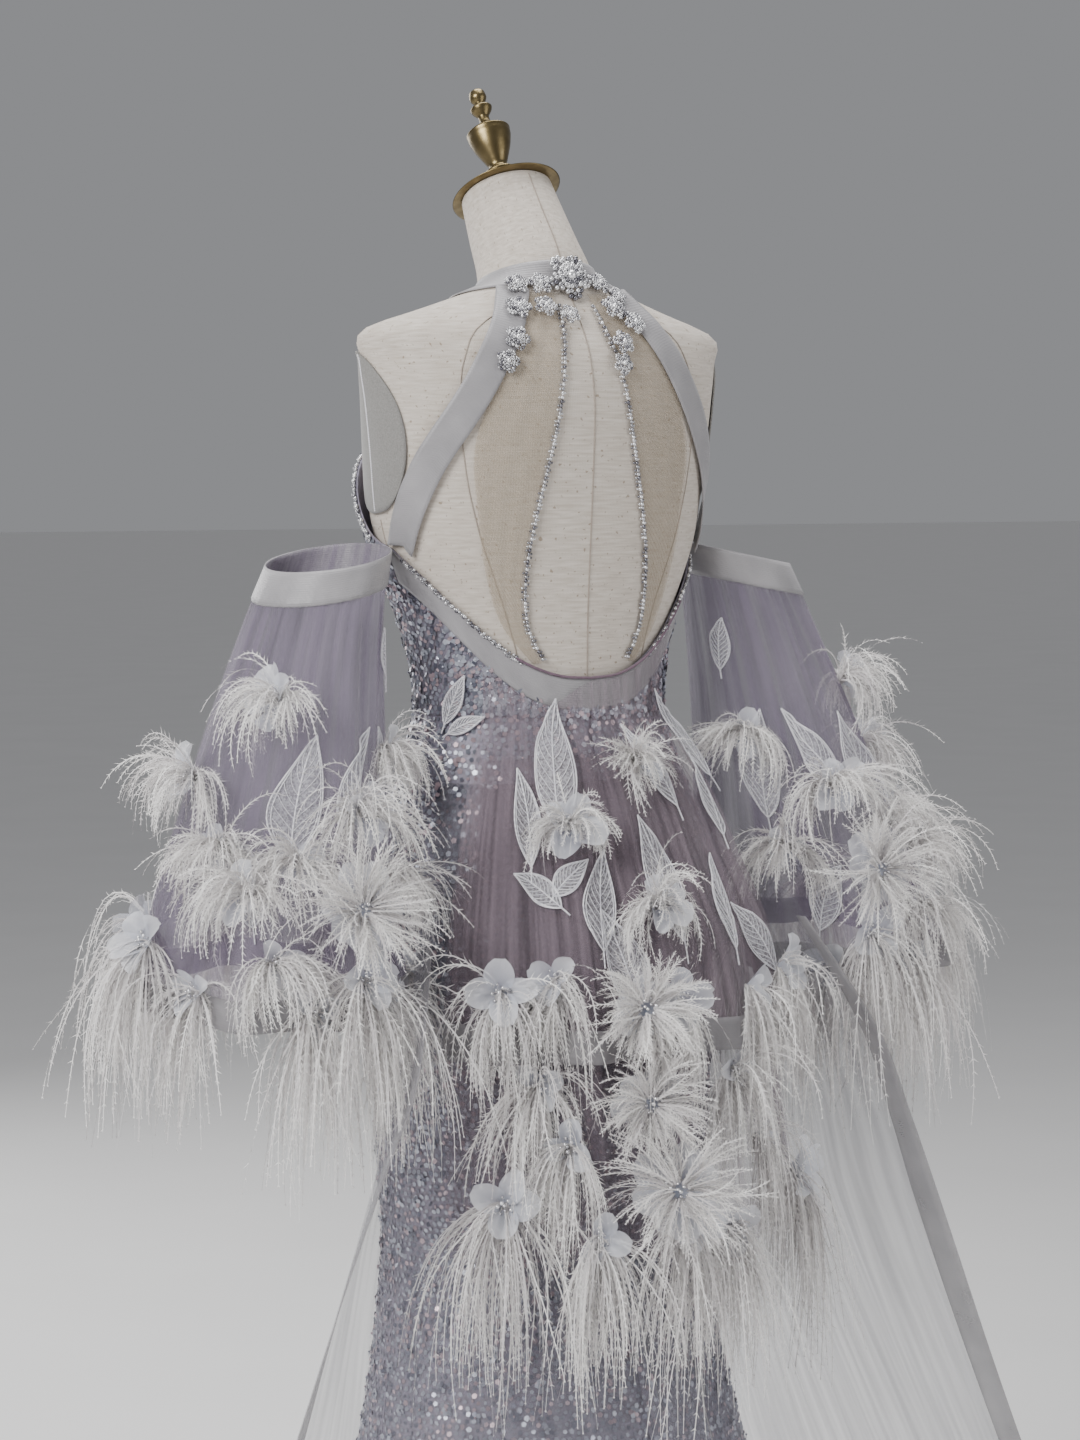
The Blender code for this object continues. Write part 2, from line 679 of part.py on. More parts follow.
def build_cape(tulle, ribbon):
    """The cape gathered below the open back: a short tier with a stiff hem over a long one."""
    count = len(UPPER_TIER_HEIGHTS) - 1

    def upper(across, up):
        degrees = tier_angle(across)
        level = upper_tier_level(degrees, UPPER_TIER_HEIGHTS[round(up * count)])
        return tier_point(UPPER_TIER_ROWS, level, degrees)

    def hem(across, up):
        degrees = tier_angle(across)
        level = upper_tier_level(degrees, UPPER_TIER_HEIGHTS[1] * up)
        return tier_point(UPPER_TIER_ROWS, level, degrees, TULLE_WALL + 2 * SEAM_GAP)

    def lower(across, up):
        level = LOWER_TIER_LEVELS[round(up * (len(LOWER_TIER_LEVELS) - 1))]
        return tier_point(LOWER_TIER_ROWS, level, tier_angle(across))

    rows = len(LOWER_TIER_LEVELS) - 1
    sheet("cape_hem_band", CAPE_COLUMNS, 1, hem, BAND_WALL, ribbon)
    return {
        "upper": sheet("cape_upper_tier", CAPE_COLUMNS, count, upper, TULLE_WALL, tulle),
        "lower": sheet("cape_lower_tier", CAPE_COLUMNS, rows, lower, TULLE_WALL, tulle),
    }


def train_point(level, share, side, out=0.0):
    """A point of the train: share 0 at the centre back, 1 at the free side edge."""
    _, back, bulge_x, bulge_y, fold_x, fold_y, edge_x, edge_y = row_at(TRAIN_ROWS, level)
    points = ((0.0, back), (bulge_x, bulge_y), (fold_x, fold_y), (edge_x, edge_y))
    weights = (
        (1 - share) ** 3, 3 * share * (1 - share) ** 2, 3 * share ** 2 * (1 - share), share ** 3,
    )
    x = sum(w * p[0] for w, p in zip(weights, points))
    y = sum(w * p[1] for w, p in zip(weights, points))
    return Vector((side * x, y + out, level))


def train_seat(level, share, side, layer):
    """A point of the train's gathered top, which lies on the sheath."""
    degrees = 90 - side * TRAIN_TOP_TURN * share
    skin = CLOTH_OUT + CLOTH_WALL + 2 * SEAM_GAP
    slack = (TRAIN_LEVELS[-1] - level) * TRAIN_SEAT_SLOPE
    return form_point(level, degrees, skin + slack + layer * max(0.0, 1 - 5 * share))


def build_train(tulle):
    """The split train, two panels that lap at the centre back."""
    count = len(TRAIN_LEVELS) - 1
    for word, side, layer in (("left", 1, TRAIN_LAYER), ("right", -1, 0.0)):
        def place(across, up, side=side, layer=layer):
            share = across if side < 0 else 1 - across
            level = TRAIN_LEVELS[round(up * count)]
            if level > TRAIN_SEAT_LEVEL:
                point = train_seat(level, share, side, layer)
            else:
                point = train_point(level, share, side, layer * (1 - share))
            if share < 0.001:
                point.x -= side * TRAIN_LAP
            return point

        sheet("train_" + word, 10, count, place, TULLE_WALL, tulle)


def meet(obj, near, out):
    """Where a line from outside meets a finished piece, and the way the piece faces there."""
    tree = BVHTree.FromObject(obj, bpy.context.evaluated_depsgraph_get())
    place, facing, _, _ = tree.ray_cast(near + out * 0.03, -out)
    return place, facing


def tuft(name, carrier, near, out, reach, fall, lift, finish, rng):
    """A feather tuft: a small flat backing whose outer faces are drawn out into strands.

    The backing lies on its carrier where a line from outside meets it. Each strand spreads
    from the root by its reach, stands off by its lift and hangs by its fall.
    """
    seat, facing = meet(carrier, near, out)
    root = seat + facing * (TUFT_RADIUS * TUFT_FLAT + TUFT_SEAT)
    bm = bmesh.new()
    bmesh.ops.create_icosphere(bm, subdivisions=1, radius=TUFT_RADIUS)
    bmesh.ops.scale(bm, vec=(1, 1, TUFT_FLAT), verts=bm.verts)
    across = Vector((0, 0, 1)).cross(out).normalized()
    frame = Matrix((across, out.cross(across), out)).transposed().to_4x4()
    bmesh.ops.transform(bm, matrix=Matrix.Translation(root) @ frame, verts=bm.verts)
    bm.normal_update()
    for face in [f for f in bm.faces if f.normal.dot(out) > 0.05]:
        aside = face.calc_center_median() - root
        spread = (aside - out * aside.dot(out)).normalized() * reach * rng.uniform(0.7, 1.0)
        drop = Vector((0, 0, -fall * rng.uniform(0.75, 1.0)))
        draw_strand(bm, face, spread, out * lift * rng.uniform(0.8, 1.0), drop)
    return add_object(name, bm, finish, smooth=False)


def draw_strand(bm, face, spread, lift, drop):
    """Draws one face out into a tapering strand that lifts, spreads and then falls."""
    start = face.calc_center_median()
    here = start.copy()
    heading = face.normal.copy()
    for step in range(1, STRAND_STEPS + 1):
        t = step / STRAND_STEPS
        target = start + spread * t + lift * (1 - (1 - t) ** 2) + drop * t * t
        direction = (target - here).normalized()
        turn = heading.rotation_difference(direction)
        fresh = bmesh.ops.extrude_face_region(bm, geom=[face])["geom"]
        if face.is_valid:
            bmesh.ops.delete(bm, geom=[face], context="FACES_ONLY")
        for vert in (part for part in fresh if isinstance(part, bmesh.types.BMVert)):
            vert.co = target + turn @ ((vert.co - here) * STRAND_NARROWS[step - 1])
        face = next(part for part in fresh if isinstance(part, bmesh.types.BMFace))
        here, heading = target, direction


def build_tufts(feather, sleeves, tiers):
    """The ostrich feather flowers on the sleeves and on the cape."""
    rng = random.Random(TUFT_SEED)
    crest = 360 / SLEEVE_WAVES
    for word, side in (("left", 1), ("right", -1)):
        for i, (level, turn, reach, fall, lift) in enumerate(SLEEVE_TUFTS):
            near = sleeve_point(side, level, turn * crest)
            out = (sleeve_point(side, level, turn * crest, 1.0) - near).normalized()
            tuft(f"feathers_sleeve_{word}_{i + 1}", sleeves[word], near, out, reach, fall, lift,
                 feather, rng)
    crest = 360 / CAPE_WAVES
    for i, (level, turn, reach, fall, lift) in enumerate(CAPE_TUFTS):
        degrees = turn * crest
        rows = UPPER_TIER_ROWS if level > UPPER_TIER_ROWS[0][0] else LOWER_TIER_ROWS
        out = tier_outward(rows, level, degrees)
        near = tier_point(rows, level, degrees)
        tier = tiers["upper" if rows is UPPER_TIER_ROWS else "lower"]
        tuft(f"feathers_cape_{i + 1}", tier, near, out, reach, fall, lift, feather, rng)


def main():
    clear_scene()
    holder = bpy.data.collections.new(COLLECTION)
    bpy.context.scene.collection.children.link(holder)
    linen = material("linen", "DCD5CE", 0.9)
    felt = material("grey_felt", "8D8C8D", 0.95)
    brass = material("antique_brass", "8C6F3E", 0.35, 1.0)
    steel = material("painted_steel", "2B2A2C", 0.5)
    sequin = material("sequinned_net", "8E8C99", 0.4)
    net = material("nude_net", "C9B9A2", 0.8)
    ribbon = material("horsehair_ribbon", "8F90A0", 0.5)
    tulle = material("lavender_tulle", "8C8297", 0.8)
    crystal = material("crystal", "D9DBE2", 0.1)
    feather = material("ostrich_feather", "DAD5D8", 0.7)
    build_torso(linen)
    build_arm_plate("form_arm_plate_left", 1, felt)
    build_arm_plate("form_arm_plate_right", -1, felt)
    build_stand(brass, steel)
    build_bodice(sequin)
    build_skirt(sequin)
    build_neck_band(ribbon)
    build_yoke(net)
    build_straps(ribbon)
    build_mesh_panels(net, crystal)
    build_back_band(ribbon)
    build_bust_trim(crystal)
    build_neck_flowers(crystal)
    sleeves = build_sleeves(tulle, ribbon)
    tiers = build_cape(tulle, ribbon)
    build_train(tulle)
    build_tufts(feather, sleeves, tiers)


main()
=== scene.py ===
"""The looks of a halter evening dress on its dress form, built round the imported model.

Every piece is worked out from the same named sizes as the solid that it stands for. The cloth
is thin walls with their folds, and what lies on the cloth, such as sequins, beads, corded
leaves and ostrich feathers, is seated on those walls. Metres, +Z up, the front faces -Y.
Angles round the body are in degrees: 0 the wearer's left side, 90 the centre back.
"""

import math

import bmesh
import bpy
import numpy as np
from bpy.props import FloatProperty, FloatVectorProperty, IntProperty, PointerProperty
from mathutils import Matrix, Vector


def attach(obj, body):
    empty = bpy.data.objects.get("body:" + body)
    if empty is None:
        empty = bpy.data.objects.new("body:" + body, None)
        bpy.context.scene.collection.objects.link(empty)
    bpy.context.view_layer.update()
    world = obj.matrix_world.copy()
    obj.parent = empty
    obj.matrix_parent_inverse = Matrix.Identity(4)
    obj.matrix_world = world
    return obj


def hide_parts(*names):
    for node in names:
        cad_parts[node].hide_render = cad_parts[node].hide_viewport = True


bl_info = {
    "name": "Evening Dress on Dress Form",
    "version": (1, 0, 0),
    "blender": (4, 5, 0),
    "location": "3D View > Sidebar > Gown",
    "description": "Cloth, feathers, beads and dress form of a halter evening gown",
    "category": "Object",
}

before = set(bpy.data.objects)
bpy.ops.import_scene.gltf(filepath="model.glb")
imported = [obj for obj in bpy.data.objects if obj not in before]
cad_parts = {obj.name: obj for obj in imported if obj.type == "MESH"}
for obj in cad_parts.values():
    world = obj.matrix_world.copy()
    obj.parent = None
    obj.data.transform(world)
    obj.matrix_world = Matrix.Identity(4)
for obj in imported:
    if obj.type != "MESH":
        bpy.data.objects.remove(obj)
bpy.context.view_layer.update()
BODY = "root"
PANEL_TAB = "Gown"

# Clearances and walls, as in the solids
SEAM_GAP = 0.0004
PLATE_OUT = 0.0012
PLATE_WALL = 0.0016
NET_OUT = 0.0015
NET_WALL = 0.0008
CLOTH_OUT = 0.0020
CLOTH_WALL = 0.0014
STRAP_OUT = 0.0031
BAND_OUT = 0.0042
BAND_WALL = 0.0012
NECK_BAND_OUT = 0.0009
TULLE_WALL = 0.0008

# The dress form: level, centre y, half width, front depth, back depth, tilt, sharpness
FORM_ROWS = (
    (0.720, 0.005, 0.150, 0.100, 0.105, 0, 0.95),
    (0.780, 0.005, 0.160, 0.105, 0.115, 0, 0.95),
    (0.850, 0.005, 0.166, 0.105, 0.117, 0, 0.95),
    (0.920, 0.003, 0.155, 0.098, 0.108, 0, 0.95),
    (0.980, 0.000, 0.134, 0.090, 0.094, 0, 0.95),
    (1.030, 0.000, 0.120, 0.084, 0.081, 0, 0.92),
    (1.070, 0.000, 0.121, 0.087, 0.080, 0, 0.90),
    (1.120, 0.000, 0.133, 0.099, 0.081, 0, 0.88),
    (1.180, 0.000, 0.155, 0.115, 0.085, 0, 0.86),
    (1.220, 0.000, 0.163, 0.120, 0.088, 0, 0.86),
    (1.265, 0.000, 0.170, 0.109, 0.091, 0, 0.90),
    (1.310, 0.000, 0.178, 0.086, 0.092, 0, 0.98),
    (1.345, 0.002, 0.186, 0.062, 0.083, 3, 1.15),
    (1.372, 0.004, 0.188, 0.045, 0.067, 5, 1.35),
    (1.393, 0.001, 0.126, 0.047, 0.054, 9, 1.20),
    (1.404, -0.002, 0.090, 0.050, 0.049, 13, 1.05),
    (1.415, -0.006, 0.061, 0.050, 0.048, 18, 1.00),
    (1.432, -0.014, 0.052, 0.048, 0.047, 24, 1.00),
    (1.468, -0.037, 0.047, 0.045, 0.044, 28, 1.00),
    (1.503, -0.058, 0.043, 0.042, 0.041, 29, 1.00),
)
FORM_LOW = 0.720
FORM_TOP = 1.503
NECK_LEAN = math.radians(29)
CAP_PROFILE = (
    (0.0000, 0.0125), (0.0160, 0.0120), (0.0300, 0.0098), (0.0405, 0.0062),
    (0.0450, 0.0030), (0.0452, 0.0006), (0.0000, 0.0006),
)
FINIAL_PROFILE = (
    (0.0000, 0.1150), (0.0052, 0.1135), (0.0078, 0.1085), (0.0070, 0.1030), (0.0046, 0.0990),
    (0.0090, 0.0960), (0.0098, 0.0925), (0.0070, 0.0880), (0.0050, 0.0840), (0.0056, 0.0790),
    (0.0120, 0.0735), (0.0190, 0.0690), (0.0202, 0.0655), (0.0185, 0.0560), (0.0140, 0.0440),
    (0.0100, 0.0350), (0.0085, 0.0290), (0.0145, 0.0250), (0.0150, 0.0215), (0.0120, 0.0190),
    (0.0190, 0.0165), (0.0195, 0.0132), (0.0000, 0.0132),
)
BASE_PROFILE = (
    (0.0165, 0.060), (0.0230, 0.060), (0.0260, 0.050), (0.0300, 0.034), (0.0600, 0.027),
    (0.1500, 0.021), (0.1830, 0.017), (0.1900, 0.010), (0.1900, 0.000), (0.0165, 0.000),
)
POLE_RADIUS = 0.016

# Edges of the bodice: degrees from the centre back or front, level
BACK_EDGE_ROWS = (
    (0, 1.063), (15, 1.066), (30, 1.078), (45, 1.100), (60, 1.130), (75, 1.160), (90, 1.182),
)
FRONT_EDGE_ROWS = (
    (0, 1.208), (15, 1.228), (32, 1.262), (50, 1.262), (66, 1.232), (80, 1.196), (90, 1.182),
)
BACK_BAND_WIDTH = 0.030
CUP_STAND = 0.010
WAIST_LEVEL = 1.030

# The sheath below the hips: level, centre y, half width, front, back
SKIRT_ROWS = (
    (0.003, 0.060, 0.300, 0.290, 0.350),
    (0.080, 0.045, 0.262, 0.245, 0.290),
    (0.180, 0.030, 0.222, 0.200, 0.232),
    (0.345, 0.012, 0.178, 0.150, 0.186),
    (0.530, 0.003, 0.152, 0.118, 0.132),
    (0.640, 0.003, 0.158, 0.114, 0.124),
    (0.720, 0.005, 0.1625, 0.1090, 0.1190),
    (0.780, 0.005, 0.1630, 0.1080, 0.1180),
    (0.850, 0.005, 0.1672, 0.1062, 0.1182),
)
SKIRT_BLEND = 0.850
SKIRT_LOW = 0.003
SKIRT_TOP = 1.0295

NECK_BAND_LOW = 1.404
NECK_BAND_TOP = 1.421
FLOWER_LEVEL = 1.4080
STRAP_WIDTH = 0.030
# level, distance from the middle of the back
STRAP_ROWS = (
    (1.1500, 0.1440), (1.1700, 0.1515), (1.1860, 0.1542), (1.2050, 0.1548), (1.2300, 0.1520),
    (1.2600, 0.1430), (1.2965, 0.1240), (1.3400, 0.0960), (1.3750, 0.0720), (1.4010, 0.0540),
)
# Net beside the keyhole: level, inner edge, outer edge from the middle
NET_ROWS = (
    (1.077, 0.046, 0.054), (1.110, 0.062, 0.080), (1.160, 0.066, 0.098), (1.215, 0.058, 0.108),
    (1.270, 0.046, 0.112), (1.320, 0.036, 0.096), (1.365, 0.026, 0.072), (1.397, 0.018, 0.046),
)
BEAD_RADIUS = 0.0021

# Sleeves: level, centre x, centre y, radius across, radius deep, wave
SLEEVE_ROWS = (
    (0.790, 0.300, 0.032, 0.112, 0.116, 0.0100),
    (0.860, 0.291, 0.025, 0.104, 0.106, 0.0085),
    (0.950, 0.276, 0.016, 0.089, 0.089, 0.0065),
    (1.050, 0.254, 0.006, 0.073, 0.072, 0.0040),
    (1.130, 0.232, -0.002, 0.060, 0.059, 0.0010),
    (1.172, 0.2174, -0.005, 0.0540, 0.0540, 0.0000),
)
SLEEVE_LOW, SLEEVE_HEM, SLEEVE_BAND, SLEEVE_TOP = 0.790, 0.816, 1.142, 1.172
SLEEVE_WAVES = 7
SLEEVE_SLOPE = 0.20
SLEEVE_PITCH = 0.10
# Folds in a sleeve: degrees, half width in degrees, depth, lower end, upper end
SLEEVE_FOLDS = (
    (18, 7, 0.0050, 0.80, 1.10), (47, 5, -0.0060, 0.84, 1.14), (78, 6, 0.0065, 0.79, 1.10),
    (112, 5, -0.0070, 0.86, 1.15), (128, 5, 0.0065, 0.88, 1.14), (149, 6, -0.0060, 0.84, 1.13), (188, 8, 0.0050, 0.86, 1.13),
    (226, 6, -0.0045, 0.80, 1.08), (262, 7, 0.0055, 0.82, 1.12), (301, 8, -0.0050, 0.79, 1.10),
    (334, 6, 0.0045, 0.83, 1.06),
)

# Cape tiers: level, stand-off at the sides, stand-off at the back, wave
UPPER_TIER_ROWS = (
    (0.740, 0.046, 0.100, 0.0080),
    (0.820, 0.031, 0.080, 0.0068),
    (0.900, 0.018, 0.050, 0.0050),
    (0.980, 0.0145, 0.0330, 0.0030),
    (1.030, 0.0080, 0.0110, 0.0010),
    (1.090, 0.0043, 0.0043, 0.0000),
    (1.160, 0.0043, 0.0043, 0.0000),
)
LOWER_TIER_ROWS = (
    (0.570, 0.066, 0.106, 0.0070),
    (0.650, 0.054, 0.095, 0.0060),
    (0.740, 0.034, 0.083, 0.0050),
    (0.820, 0.020, 0.064, 0.0045),
    (0.900, 0.012, 0.040, 0.0030),
    (0.970, 0.0085, 0.0170, 0.0008),
    (0.995, 0.0046, 0.0046, 0.0000),
)
UPPER_HEM_SHARE = 0.095
CAPE_WAVES = 20
CAPE_START = 40.5
# Folds in the cape: degrees, half width in degrees, depth, lower end, upper end
CAPE_FOLDS = (
    (48, 2.2, 0.0022, 0.60, 1.02), (61, 1.8, -0.0020, 0.64, 0.98), (74, 2.4, 0.0024, 0.58, 1.02),
    (85, 1.7, -0.0022, 0.62, 1.01), (96, 2.3, 0.0024, 0.60, 0.99), (109, 1.9, -0.0020, 0.58, 1.02),
    (121, 2.3, 0.0022, 0.64, 1.00), (134, 1.8, -0.0020, 0.60, 1.01),
)

# Train: level, back y, bulge x, bulge y, fold x, fold y, edge x, edge y
TRAIN_ROWS = (
    (0.003, 0.560, 0.250, 0.560, 0.400, 0.350, 0.560, 0.205),
    (0.200, 0.385, 0.200, 0.385, 0.300, 0.220, 0.470, 0.202),
    (0.396, 0.250, 0.180, 0.255, 0.240, 0.100, 0.386, 0.200),
    (0.570, 0.183, 0.160, 0.200, 0.200, 0.000, 0.316, 0.198),
    (0.660, 0.168, 0.150, 0.188, 0.195, -0.010, 0.278, 0.198),
    (0.740, 0.152, 0.140, 0.175, 0.190, -0.020, 0.243, 0.195),
    (0.850, 0.134, 0.120, 0.152, 0.175, 0.010, 0.195, 0.135),
    (0.960, 0.1080, 0.095, 0.108, 0.140, 0.050, 0.149, 0.066),
)
TRAIN_LOW, TRAIN_TOP = 0.003, 0.970
TRAIN_SEAT_LEVEL = 0.900
TRAIN_JOIN_LEVEL = 0.850
TRAIN_SEAT_SLOPE = 0.09
TRAIN_TOP_TURN = 66
TRAIN_LAP = 0.020
TRAIN_LAYER = 0.0070

# Feather flowers on each sleeve: level, fold crest from the outer side, reach, fall, lift
SLEEVE_TUFTS = (
    (1.060, 1.0, 0.050, 0.050, 0.030),
    (0.990, 0.0, 0.060, 0.050, 0.040),
    (0.960, 2.0, 0.055, 0.060, 0.040),
    (0.900, 1.0, 0.060, 0.055, 0.045),
    (0.850, 0.0, 0.050, 0.150, 0.045),
    (0.830, 2.0, 0.045, 0.150, 0.075),
    (0.840, 6.0, 0.050, 0.160, 0.040),
)
# Feather flowers on the cape: level, fold crest from the left side, reach, fall, lift
CAPE_TUFTS = (
    (0.935, 4.0, 0.040, 0.020, 0.070),
    (0.865, 5.0, 0.050, 0.025, 0.065),
    (0.800, 3.0, 0.050, 0.080, 0.050),
    (0.800, 7.0, 0.050, 0.080, 0.050),
    (0.790, 5.0, 0.045, 0.080, 0.030),
    (0.620, 3.0, 0.050, 0.170, 0.055),
    (0.600, 5.0, 0.055, 0.150, 0.060),
    (0.620, 7.0, 0.050, 0.170, 0.055),
)

# Feather flowers between those of the solids: level, degrees, length, rise, weight
SLEEVE_SPRAYS = (
    (1.000, 150, 0.080, 0.35, 2.8),
    (0.935, 26, 0.080, 0.30, 3.2),
    (0.925, 72, 0.090, 0.40, 2.6),
    (0.900, 138, 0.095, 0.30, 2.8),
    (0.845, 62, 0.110, 0.10, 3.2),
    (0.815, 28, 0.130, -0.30, 4.4),
    (0.806, 80, 0.165, -0.35, 4.6),
    (0.800, 122, 0.155, -0.35, 4.6),
    (0.812, 165, 0.135, -0.30, 4.4),
    (0.830, 215, 0.120, -0.30, 4.4),
    (0.830, 262, 0.120, -0.30, 4.4),
)
UPPER_SPRAYS = (
    (0.985, 98, 0.070, 0.55, 1.8),
    (0.810, 66, 0.115, -0.22, 3.8),
    (0.790, 112, 0.125, -0.30, 4.2),
)
LOWER_SPRAYS = (
    (0.720, 62, 0.125, -0.22, 4.0),
    (0.720, 106, 0.130, -0.22, 4.0),
    (0.668, 68, 0.130, -0.30, 4.2),
    (0.655, 114, 0.140, -0.30, 4.4),
    (0.590, 72, 0.155, -0.35, 4.6),
    (0.585, 103, 0.155, -0.35, 4.6),
)
# Large feather flowers with a centre of stones: level, degrees, radius
SLEEVE_DAISIES = ((0.882, 98, 0.066),)
UPPER_DAISIES = ((0.780, 84, 0.052),)
LOWER_DAISIES = ((0.625, 88, 0.068), (0.700, 84, 0.054))
DAISY_LIFT = 0.022

# Corded leaves: level, degrees, length, width, turn
CAPE_LEAVES = (
    (0.990, 70, 0.112, 0.040, -4),
    (0.945, 60, 0.085, 0.026, 10),
    (1.010, 136, 0.090, 0.028, 24),
    (0.955, 127, 0.075, 0.030, -16),
    (0.875, 78, 0.085, 0.036, -14),
    (0.890, 95, 0.110, 0.046, 8),
    (0.825, 81, 0.090, 0.038, 16),
    (0.885, 63, 0.050, 0.022, 55),
    (0.895, 71, 0.045, 0.020, -48),
    (0.985, 105, 0.075, 0.026, 16),
    (0.865, 113, 0.085, 0.036, -20),
    (0.830, 122, 0.070, 0.030, 26),
)
SLEEVE_LEAVES = (
    (0.980, 70, 0.105, 0.042, -6),
    (0.915, 46, 0.080, 0.034, 22),
    (0.975, 142, 0.100, 0.040, 6),
    (0.990, 106, 0.095, 0.036, -34),
    (1.080, 158, 0.050, 0.018, 10),
    (0.860, 118, 0.070, 0.030, 28),
    (0.930, 230, 0.085, 0.036, -12),
    (0.880, 300, 0.090, 0.038, 14),
)
SHEATH_LEAVES = (
    (1.045, 24, 0.050, 0.017, -22),
    (1.022, 31, 0.036, 0.014, -64),
)

# The photo's camera, solved from the form's mirror pairs
CAMERA_TURN = math.radians(32)
CAMERA_DISTANCE = 3.1
CAMERA_HEIGHT = 1.25
AIM_HEIGHT = 1.02
FOCAL_PIXELS = 3379
PHOTO_HEIGHT = 1440
SENSOR_HEIGHT = 36.0

SEQUIN_SEED = 11
FEATHER_SEED = 23
WAVE_PERIOD = math.pi / 10


# Shapes shared with the solids

def row_at(rows, key):
    """Every column of a table at a key, on a smooth curve through its rows."""
    last = len(rows) - 1
    i = 0
    while i < last - 1 and key > rows[i + 1][0]:
        i += 1
    low, high = rows[i], rows[i + 1]
    before, after = rows[max(i - 1, 0)], rows[min(i + 2, last)]
    span = high[0] - low[0]
    t = min(max((key - low[0]) / span, 0.0), 1.0)
    bend_low = t * (1 - t) ** 2 * span / (high[0] - before[0])
    bend_high = t * t * (1 - t) * span / (after[0] - low[0])
    rise = t * t * (3 - 2 * t)
    return [
        low[k] * (1 - rise) + high[k] * rise
        + (high[k] - before[k]) * bend_low - (after[k] - low[k]) * bend_high
        for k in range(len(low))
    ]


def mix(low, high, share):
    return low + (high - low) * share


def smooth_step(low, high, value):
    t = min(max((value - low) / (high - low), 0.0), 1.0)
    return t * t * (3 - 2 * t)


def signed_power(value, power):
    return math.copysign(abs(value) ** power, value)


def form_ring(level, degrees):
    """A point of the dress form's surface."""
    _, centre, wide, front, back, tilt, sharp = row_at(FORM_ROWS, level)
    angle = math.radians(degrees)
    depth = back if math.sin(angle) > 0 else front
    deep = depth * signed_power(math.sin(angle), sharp)
    lean = math.radians(tilt)
    return Vector((
        wide * math.cos(angle),
        centre + deep * math.cos(lean),
        level + deep * math.sin(lean),
    ))


def outward(ring, level, degrees):
    """The surface's outward direction at a point of a ring function."""
    around = ring(level, degrees + 1) - ring(level, degrees - 1)
    upward = ring(level + 0.002, degrees) - ring(level - 0.002, degrees)
    return around.cross(upward).normalized()


def lifted(ring, level, degrees, out):
    point = ring(level, degrees)
    return point + outward(ring, level, degrees) * out if out else point


def form_point(level, degrees, out=0.0):
    return lifted(form_ring, level, degrees, out)


def skirt_ring(level, degrees):
    """The sheath: the form's own surface at the hips, its flared sections below them."""
    if level >= SKIRT_BLEND:
        return form_ring(level, degrees)
    _, centre, wide, front, back = row_at(SKIRT_ROWS, level)
    angle = math.radians(degrees)
    depth = back if math.sin(angle) > 0 else front
    deep = depth * signed_power(math.sin(angle), 0.95)
    return Vector((wide * math.cos(angle), centre + deep, level))


def skirt_point(level, degrees, out=0.0):
    return lifted(skirt_ring, level, degrees, out)


def back_angle(level, across):
    """Degrees round the form of a place on the back, from its distance to the middle."""
    wide = row_at(FORM_ROWS, level)[2]
    return math.degrees(math.acos(max(-1.0, min(1.0, across / wide))))


def back_edge(degrees):
    return row_at(BACK_EDGE_ROWS, min(abs(degrees - 90), 90))[1]


def front_edge(degrees):
    return row_at(FRONT_EDGE_ROWS, min(abs(degrees - 270), 90))[1]


def fold_depth(folds, degrees, level):
    """The soft folds of a cloth at a place: each is a ridge or a trough with its own ends."""
    depth = 0.0
    for middle, half, size, low, high in folds:
        away = ((degrees - middle + 180) % 360 - 180) / half
        if abs(away) < 3:
            ends = smooth_step(low - 0.03, low + 0.03, level) * smooth_step(high + 0.03, high - 0.05, level)
            depth += size * math.exp(-away * away) * ends
    return depth


def sleeve_ring(side, level, degrees):
    """A point of a sleeve's inner wall, with its gathers, waves and folds."""
    _, x, y, wide, deep, wave = row_at(SLEEVE_ROWS, level)
    angle = math.radians(degrees)
    gathers = 0.0009 * math.cos(33 * angle) * smooth_step(1.00, 1.13, level)
    ripple = 0.0012 * math.cos(19 * angle + 1.3) * smooth_step(1.08, 0.86, level)
    body = smooth_step(1.165, 1.12, level)
    extra = (fold_depth(SLEEVE_FOLDS, degrees, level) + gathers + ripple) * body
    swell = 1 + (wave * math.cos(SLEEVE_WAVES * angle) + extra) / wide
    right = wide * swell * math.cos(angle)
    back = deep * swell * math.sin(angle)
    share = (level - SLEEVE_LOW) / (SLEEVE_TOP - SLEEVE_LOW)
    drop = right * SLEEVE_SLOPE * share + back * SLEEVE_PITCH
    return Vector((side * (x + right), y + back, level - drop))


def sleeve_point(side, level, degrees, out=0.0):
    def ring(lev, deg):
        return sleeve_ring(side, lev, deg)

    return lifted(ring, level, degrees, out * side)


def tier_point(rows, level, degrees, out=0.0):
    """A point of a cape tier's inner wall: the sheath's surface, moved out in soft folds."""
    _, side, back, wave = row_at(rows, level)
    angle = math.radians(degrees)
    loose = smooth_step(0.0045, 0.020, side + wave)
    gathers = 0.0007 * math.cos(71 * angle) * smooth_step(0.86, 1.02, level) * smooth_step(1.12, 1.03, level)
    extra = fold_depth(CAPE_FOLDS, degrees, level) * loose + gathers
    stand = mix(side, back, math.sin(angle)) + wave * math.cos(CAPE_WAVES * angle) + extra + out
    return skirt_ring(level, degrees) + Vector((math.cos(angle), math.sin(angle), 0)) * stand


def upper_tier_level(degrees, share):
    top = back_edge(degrees) - BACK_BAND_WIDTH - 2 * SEAM_GAP
    return mix(UPPER_TIER_ROWS[0][0], top, share)


def tier_angle(share):
    return mix(CAPE_START, 180 - CAPE_START, share)


